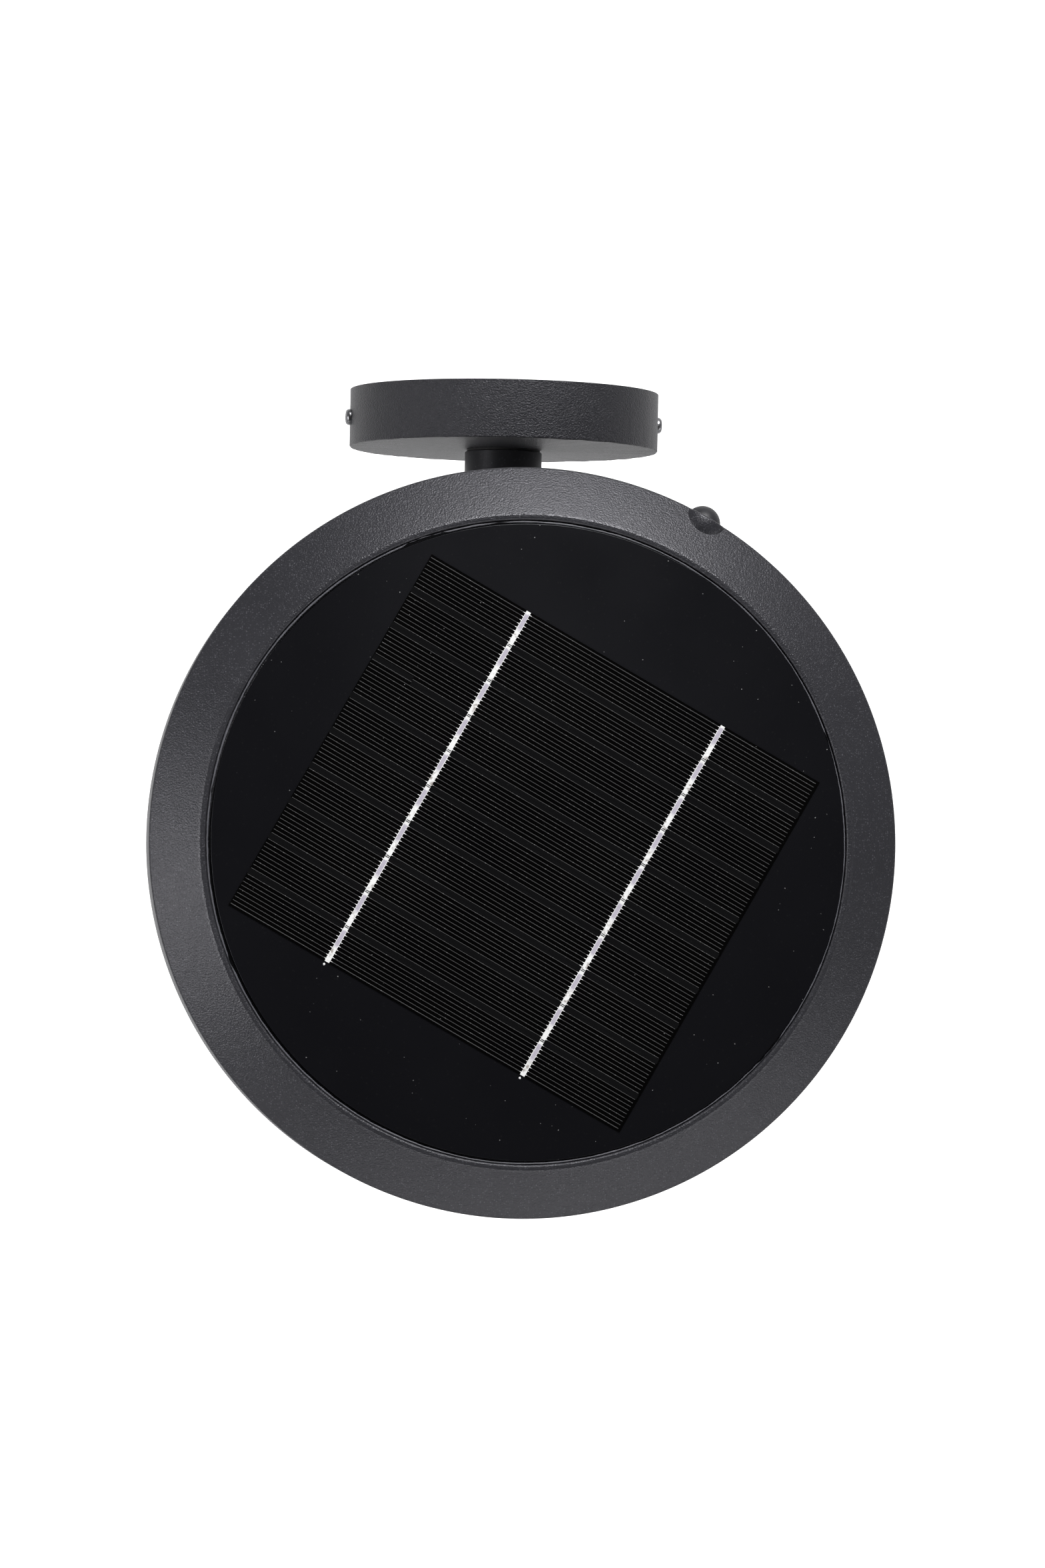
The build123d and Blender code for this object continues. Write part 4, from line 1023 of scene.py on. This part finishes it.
cool = (0.955, 0.945, 1.0)
finishes = {
    "anthracite_casting": coated(
        "anthracite_sand", (0.016, 0.016, 0.019), (0.022, 0.022, 0.026), (0.075, 0.075, 0.085),
        0.60, 0.6, 0.37, 1.0, sheen=cool, spacing=0.7, relief_share=0.32),
    "anthracite_tube": coated(
        "anthracite_smooth", (0.012, 0.012, 0.014), (0.017, 0.017, 0.019), (0.05, 0.05, 0.055),
        0.40, 0.25, 0.42, 0.30, sheen=cool),
    "anthracite_plate": coated(
        "anthracite_grained", (0.017, 0.017, 0.020), (0.024, 0.024, 0.028), (0.06, 0.06, 0.067),
        0.60, 0.25, 0.38, 1.0, specular=0.42, sheen=cool, spacing=0.6, relief_share=0.80),
    "cover_plastic": coated(
        "cover_black", (0.030, 0.030, 0.033), (0.038, 0.038, 0.042), (0.07, 0.07, 0.075),
        0.30, 0.2, 0.50, 0.35),
    "zinc_steel": coated(
        "zinc_sheet", (0.42, 0.43, 0.45), (0.62, 0.63, 0.65), (0.75, 0.75, 0.76),
        2.5, 0.3, 0.38, 0.10, metallic=1.0),
    "screw_steel": coated(
        "screw_plain", (0.22, 0.22, 0.23), (0.34, 0.34, 0.35), (0.6, 0.6, 0.6),
        0.5, 0.2, 0.30, 0.10, metallic=1.0),
    "seal_rubber": coated(
        "seal_black", (0.012, 0.012, 0.012), (0.020, 0.020, 0.020), (0.05, 0.05, 0.05),
        0.35, 0.2, 0.72, 0.30, specular=0.3),
    "reflector_white": coated(
        "reflector_gloss", (0.80, 0.80, 0.79), (0.86, 0.86, 0.85), (0.9, 0.9, 0.9),
        1.5, 0.1, 0.25, 0.05),
    "board_white": coated(
        "board_white", (0.74, 0.74, 0.72), (0.82, 0.82, 0.80), (0.55, 0.55, 0.52),
        0.8, 0.1, 0.35, 0.08),
    "led_yellow": coated(
        "phosphor", (0.78, 0.58, 0.10), (0.88, 0.70, 0.16), (0.95, 0.85, 0.4),
        0.3, 0.2, 0.45, 0.15),
    "board_green": coated(
        "board_green", (0.010, 0.080, 0.035), (0.016, 0.11, 0.05), (0.03, 0.16, 0.08),
        0.8, 0.3, 0.32, 0.08),
    "component_black": coated(
        "component_black", (0.014, 0.014, 0.015), (0.024, 0.024, 0.026), (0.06, 0.06, 0.06),
        0.3, 0.2, 0.45, 0.2),
    "button_rubber": coated(
        "button_rubber", (0.018, 0.018, 0.021), (0.024, 0.024, 0.028), (0.04, 0.04, 0.045),
        0.35, 0.15, 0.46, 0.10, specular=0.4),
    "tray_plastic": coated(
        "tray_plastic", (0.05, 0.05, 0.055), (0.065, 0.065, 0.07), (0.1, 0.1, 0.1),
        0.4, 0.2, 0.5, 0.2),
    "battery_sleeve": coated(
        "battery_sleeve", (0.02, 0.09, 0.30), (0.03, 0.12, 0.38), (0.1, 0.2, 0.5),
        3.0, 0.1, 0.25, 0.05, coat=0.4),
    "nickel_strip": coated(
        "nickel_strip", (0.52, 0.51, 0.48), (0.66, 0.65, 0.62), (0.75, 0.75, 0.72),
        0.6, 0.2, 0.30, 0.10, metallic=1.0),
    "sealant_grey": coated(
        "sealant_grey", (0.052, 0.052, 0.061), (0.072, 0.072, 0.083), (0.12, 0.12, 0.14),
        1.2, 0.25, 0.40, 0.18),
    "lead_sleeve": coated(
        "lead_sleeve", (0.30, 0.014, 0.012), (0.36, 0.022, 0.018), (0.45, 0.1, 0.1),
        0.6, 0.1, 0.4, 0.08),
}
print("finishes so far:", len(finishes))

# %% [markdown]
# Along the hat's crest the coat is made glossier, so it catches the lamps as a broken bright
# line, and a lighter colour is laid there too as a painted highlight. The sealant's inner edge
# gets a paler colour, also a painted highlight. The ring mask drives both: it lays that colour
# over the finish and, on the coat, makes it glossier too.

# %% Crest and sealant edge, with painted highlights
def shader_of(made):
    return next(n for n in made.node_tree.nodes if n.type == "BSDF_PRINCIPLED")


def paint_over(made, mask, colour, place):
    """Lay a colour over a material's colour wherever a mask output is bright."""
    tree = made.node_tree
    base = shader_of(made).inputs["Base Color"]
    over = node_at(tree, "ShaderNodeMix", place, data_type="RGBA", B=(*colour, 1))
    link(tree, (mask, over.inputs[0]), (base.links[0].from_socket, over.inputs["A"]),
         (over.outputs["Result"], base))


def with_ring(made, radius, width, colour, gloss=None):
    """Change a material's colour, and its roughness, in a narrow ring round the hat."""
    tree = made.node_tree
    ring = node_at(tree, "ShaderNodeGroup", (-700, 800), node_tree=ring_group,
                   Radius=radius, Width=width).outputs["Ring"]
    paint_over(made, ring, colour, (-20, 700))
    if gloss is not None:
        rough = shader_of(made).inputs["Roughness"]
        smoother = node_at(tree, "ShaderNodeMix", (-20, -160), data_type="FLOAT", B=gloss)
        link(tree, (ring, smoother.inputs[0]), (rough.links[0].from_socket, smoother.inputs["A"]),
             (smoother.outputs["Result"], rough))


# Crest: real extra gloss, and a lighter colour laid on as a painted highlight.
with_ring(finishes["anthracite_casting"], lip + 0.1, 1.0, (0.03, 0.03, 0.034), 0.20)
# Sealant's inner edge: a paler colour laid on as a painted highlight.
with_ring(finishes["sealant_grey"], bead_radius + 0.1, 0.42, (0.12, 0.12, 0.135))
print("crest and sealant edge added")

# %% [markdown]
# The light cone is frosted acrylic. A plain white plastic would look like paper, and clear glass
# would show the lamps. Light has to pass into it and scatter, so it is a rough transmissive
# plastic mixed with some white body, milky enough to hide the lamps behind it.

# %% Frosted plastic
frosted = coated("frosted_acrylic", (0.84, 0.84, 0.82), (0.90, 0.90, 0.88), (0.93, 0.93, 0.92),
                 0.5, 0.1, 0.55, 0.20)
for name, value in (("Transmission Weight", 0.35), ("Subsurface Weight", 0.25),
                    ("Subsurface Radius", (0.01, 0.01, 0.01)), ("Subsurface Scale", 0.4)):
    shader_of(frosted).inputs[name].default_value = value
finishes["frosted_plastic"] = frosted
print("frosted plastic added")

# %% [markdown]
# The panel's board and its silicon are nearly black, and what one sees of them is mostly gloss.
# The board is a resin face with a weak reflection. The silicon is darker still and duller, which
# lets the printed fingers stand out. Both carry a little dust, laid over the colour by a mask.

# %% Panel and cells
def with_dust(made, spacing, size, colour):
    """Lay dust specks over a finished material's colour."""
    dust = node_at(made.node_tree, "ShaderNodeGroup", (-700, 500), node_tree=dust_group,
                   Spacing=spacing, Size=size).outputs["Dust"]
    paint_over(made, dust, colour, (-20, 420))
    return made


panel_resin = coated("panel_resin", (0.0047, 0.0047, 0.0058), (0.0060, 0.0060, 0.0073),
                     (0.009, 0.009, 0.010), 0.6, 0.1, 0.22, 0.05, specular=0.17,
                     sheen=(0.93, 0.95, 1.0))
finishes["panel_black"] = with_dust(panel_resin, 3.4, 0.05, (0.30, 0.30, 0.30))
silicon = coated("silicon", (0.0006, 0.0006, 0.0008), (0.0014, 0.0012, 0.0011),
                 (0.002, 0.002, 0.002), 0.5, 0.2, 0.34, 0.05, specular=0.03)
finishes["cell_silicon"] = with_dust(silicon, 4.2, 0.04, (0.25, 0.25, 0.25))
print("panel and cells added")

# %% [markdown]
# Tin solder is bright near each step from strip to strip and has dulled to a grey lavender
# between them, except along its edges. Noise alone can't tell where a strip ends. This group
# turns the place on the cells into the ribbon's own length and width, counts the strips along it,
# and puts out where the tin is dull and where it is smudged. Noise only makes the ends ragged.

# %% Solder pattern
turned = math.atan2(along_strips.y, along_strips.x)
solder_group, given, result = group_with("solder_pattern", {"Ragged": 0.12}, ["Dull", "Smudge"])
tree = solder_group
place = node_at(tree, "ShaderNodeTexCoord", (-1300, 300)).outputs["Object"]
local = node_at(tree, "ShaderNodeMapping", (-1120, 300), vector_type="TEXTURE",
                Location=(field_middle.x, field_middle.y, 0), Rotation=(0, 0, turned))
parts = node_at(tree, "ShaderNodeSeparateXYZ", (-940, 300))
rough_edge = node_at(tree, "ShaderNodeTexNoise", (-1120, -60), Scale=900.0, Detail=2.0)
ragged = math_at(tree, "MULTIPLY", (-760, -60))
steps = math_at(tree, "MULTIPLY_ADD", (-760, 300), None, -1 / strip_pitch, 5.0)
moved = math_at(tree, "ADD", (-580, 200))
share = math_at(tree, "FRACT", (-400, 200))
rise = node_at(tree, "ShaderNodeMapRange", (-200, 300), From_Min=0.13, From_Max=0.17)
fall = node_at(tree, "ShaderNodeMapRange", (-200, 60), From_Min=0.66, From_Max=0.54)
side = math_at(tree, "ABSOLUTE", (-760, 560))
off = math_at(tree, "ADD", (-580, 560), None, -ribbon_reach * MM)
width = math_at(tree, "ABSOLUTE", (-400, 560))
inside = node_at(tree, "ShaderNodeMapRange", (-200, 560), From_Min=0.78 * MM, From_Max=0.60 * MM)
first = math_at(tree, "MULTIPLY", (20, 300))
dull = math_at(tree, "MULTIPLY", (200, 400))
blots = node_at(tree, "ShaderNodeTexNoise", (-400, -260), Scale=700.0, Detail=1.5)
strong = node_at(tree, "ShaderNodeMapRange", (-200, -260), From_Min=0.52, From_Max=0.68)
late = node_at(tree, "ShaderNodeMapRange", (-200, -520), From_Min=0.60, From_Max=0.72)
smudge = math_at(tree, "MULTIPLY", (200, -300))
link(tree, (place, local.inputs["Vector"]), (place, rough_edge.inputs["Vector"]),
     (place, blots.inputs["Vector"]), (local.outputs[0], parts.inputs[0]),
     (parts.outputs["Y"], steps.inputs[0]), (rough_edge.outputs[0], ragged.inputs[0]),
     (given["Ragged"], ragged.inputs[1]), (steps.outputs[0], moved.inputs[0]),
     (ragged.outputs[0], moved.inputs[1]), (moved.outputs[0], share.inputs[0]),
     (share.outputs[0], rise.inputs[0]), (share.outputs[0], fall.inputs[0]),
     (parts.outputs["X"], side.inputs[0]), (side.outputs[0], off.inputs[0]),
     (off.outputs[0], width.inputs[0]), (width.outputs[0], inside.inputs[0]),
     (rise.outputs[0], first.inputs[0]), (fall.outputs[0], first.inputs[1]),
     (first.outputs[0], dull.inputs[0]), (inside.outputs[0], dull.inputs[1]),
     (blots.outputs[0], strong.inputs[0]), (share.outputs[0], late.inputs[0]),
     (strong.outputs[0], smudge.inputs[0]), (late.outputs[0], smudge.inputs[1]),
     (dull.outputs[0], result["Dull"]), (smudge.outputs[0], result["Smudge"]))
print("solder pattern turned", round(math.degrees(turned), 2), "degrees")

# %% [markdown]
# The ribbon's finish mixes bright tin, dull tin and smudges by that pattern. The fingers are
# printed silver so thin that they break into dots, which the specks of the usual recipe imitate
# at a finger's own scale. The bands between the strips and the nicks are plain dark finishes.

# %% Solder and print
ribbon_tin = coated("ribbon_tin", (0.78, 0.78, 0.77), (0.86, 0.86, 0.86), (1.0, 1.0, 1.0),
                    1.8, 0.3, 0.36, 0.25)
pattern = node_at(ribbon_tin.node_tree, "ShaderNodeGroup", (-700, 620), node_tree=solder_group)
paint_over(ribbon_tin, pattern.outputs["Dull"], (0.46, 0.43, 0.50), (-240, 520))
paint_over(ribbon_tin, pattern.outputs["Smudge"], (0.36, 0.33, 0.31), (-40, 520))
finishes["tinned_ribbon"] = ribbon_tin
own_finish = {
    "cell_fingers": coated(
        "finger_print", (0.050, 0.049, 0.051), (0.080, 0.080, 0.080), (0.20, 0.20, 0.20),
        0.8, 0.5, 0.6, 0.1, specular=0.1, spacing=0.8),
    # The paler grey of the bands between the strips is painted sheen.
    "painted_sheen_bands": coated(
        "painted_sheen_grey", (0.0028, 0.0028, 0.0032), (0.0040, 0.0040, 0.0044), (0.006, 0.006, 0.006),
        0.6, 0.1, 0.6, 0.05, specular=0.04),
    "ribbon_nicks": coated(
        "nick_black", (0.010, 0.010, 0.010), (0.014, 0.014, 0.014), (0.02, 0.02, 0.02),
        0.6, 0.1, 0.6, 0.05, specular=0.1),
}
print("solder and print added")

# %% [markdown]
# Each piece takes the finish of the slot it names, and so does each CAD node that still shows, by
# the record's own list. The three pieces with a finish of their own come first.

# %% Hand out the finishes
node_slots = {}
for material in frame["record"]["materials"]:
    for node in material.get("nodes", []):
        node_slots[node] = material["slot"]
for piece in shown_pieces():
    slot = piece.get("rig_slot") or node_slots.get(piece.get("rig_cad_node"))
    if slot is None and piece.data.materials:
        slot = piece.data.materials[0].name.split(".")[0]
    finish = own_finish.get(piece.name) or finishes[slot]
    piece.data.materials.clear()
    piece.data.materials.append(finish)
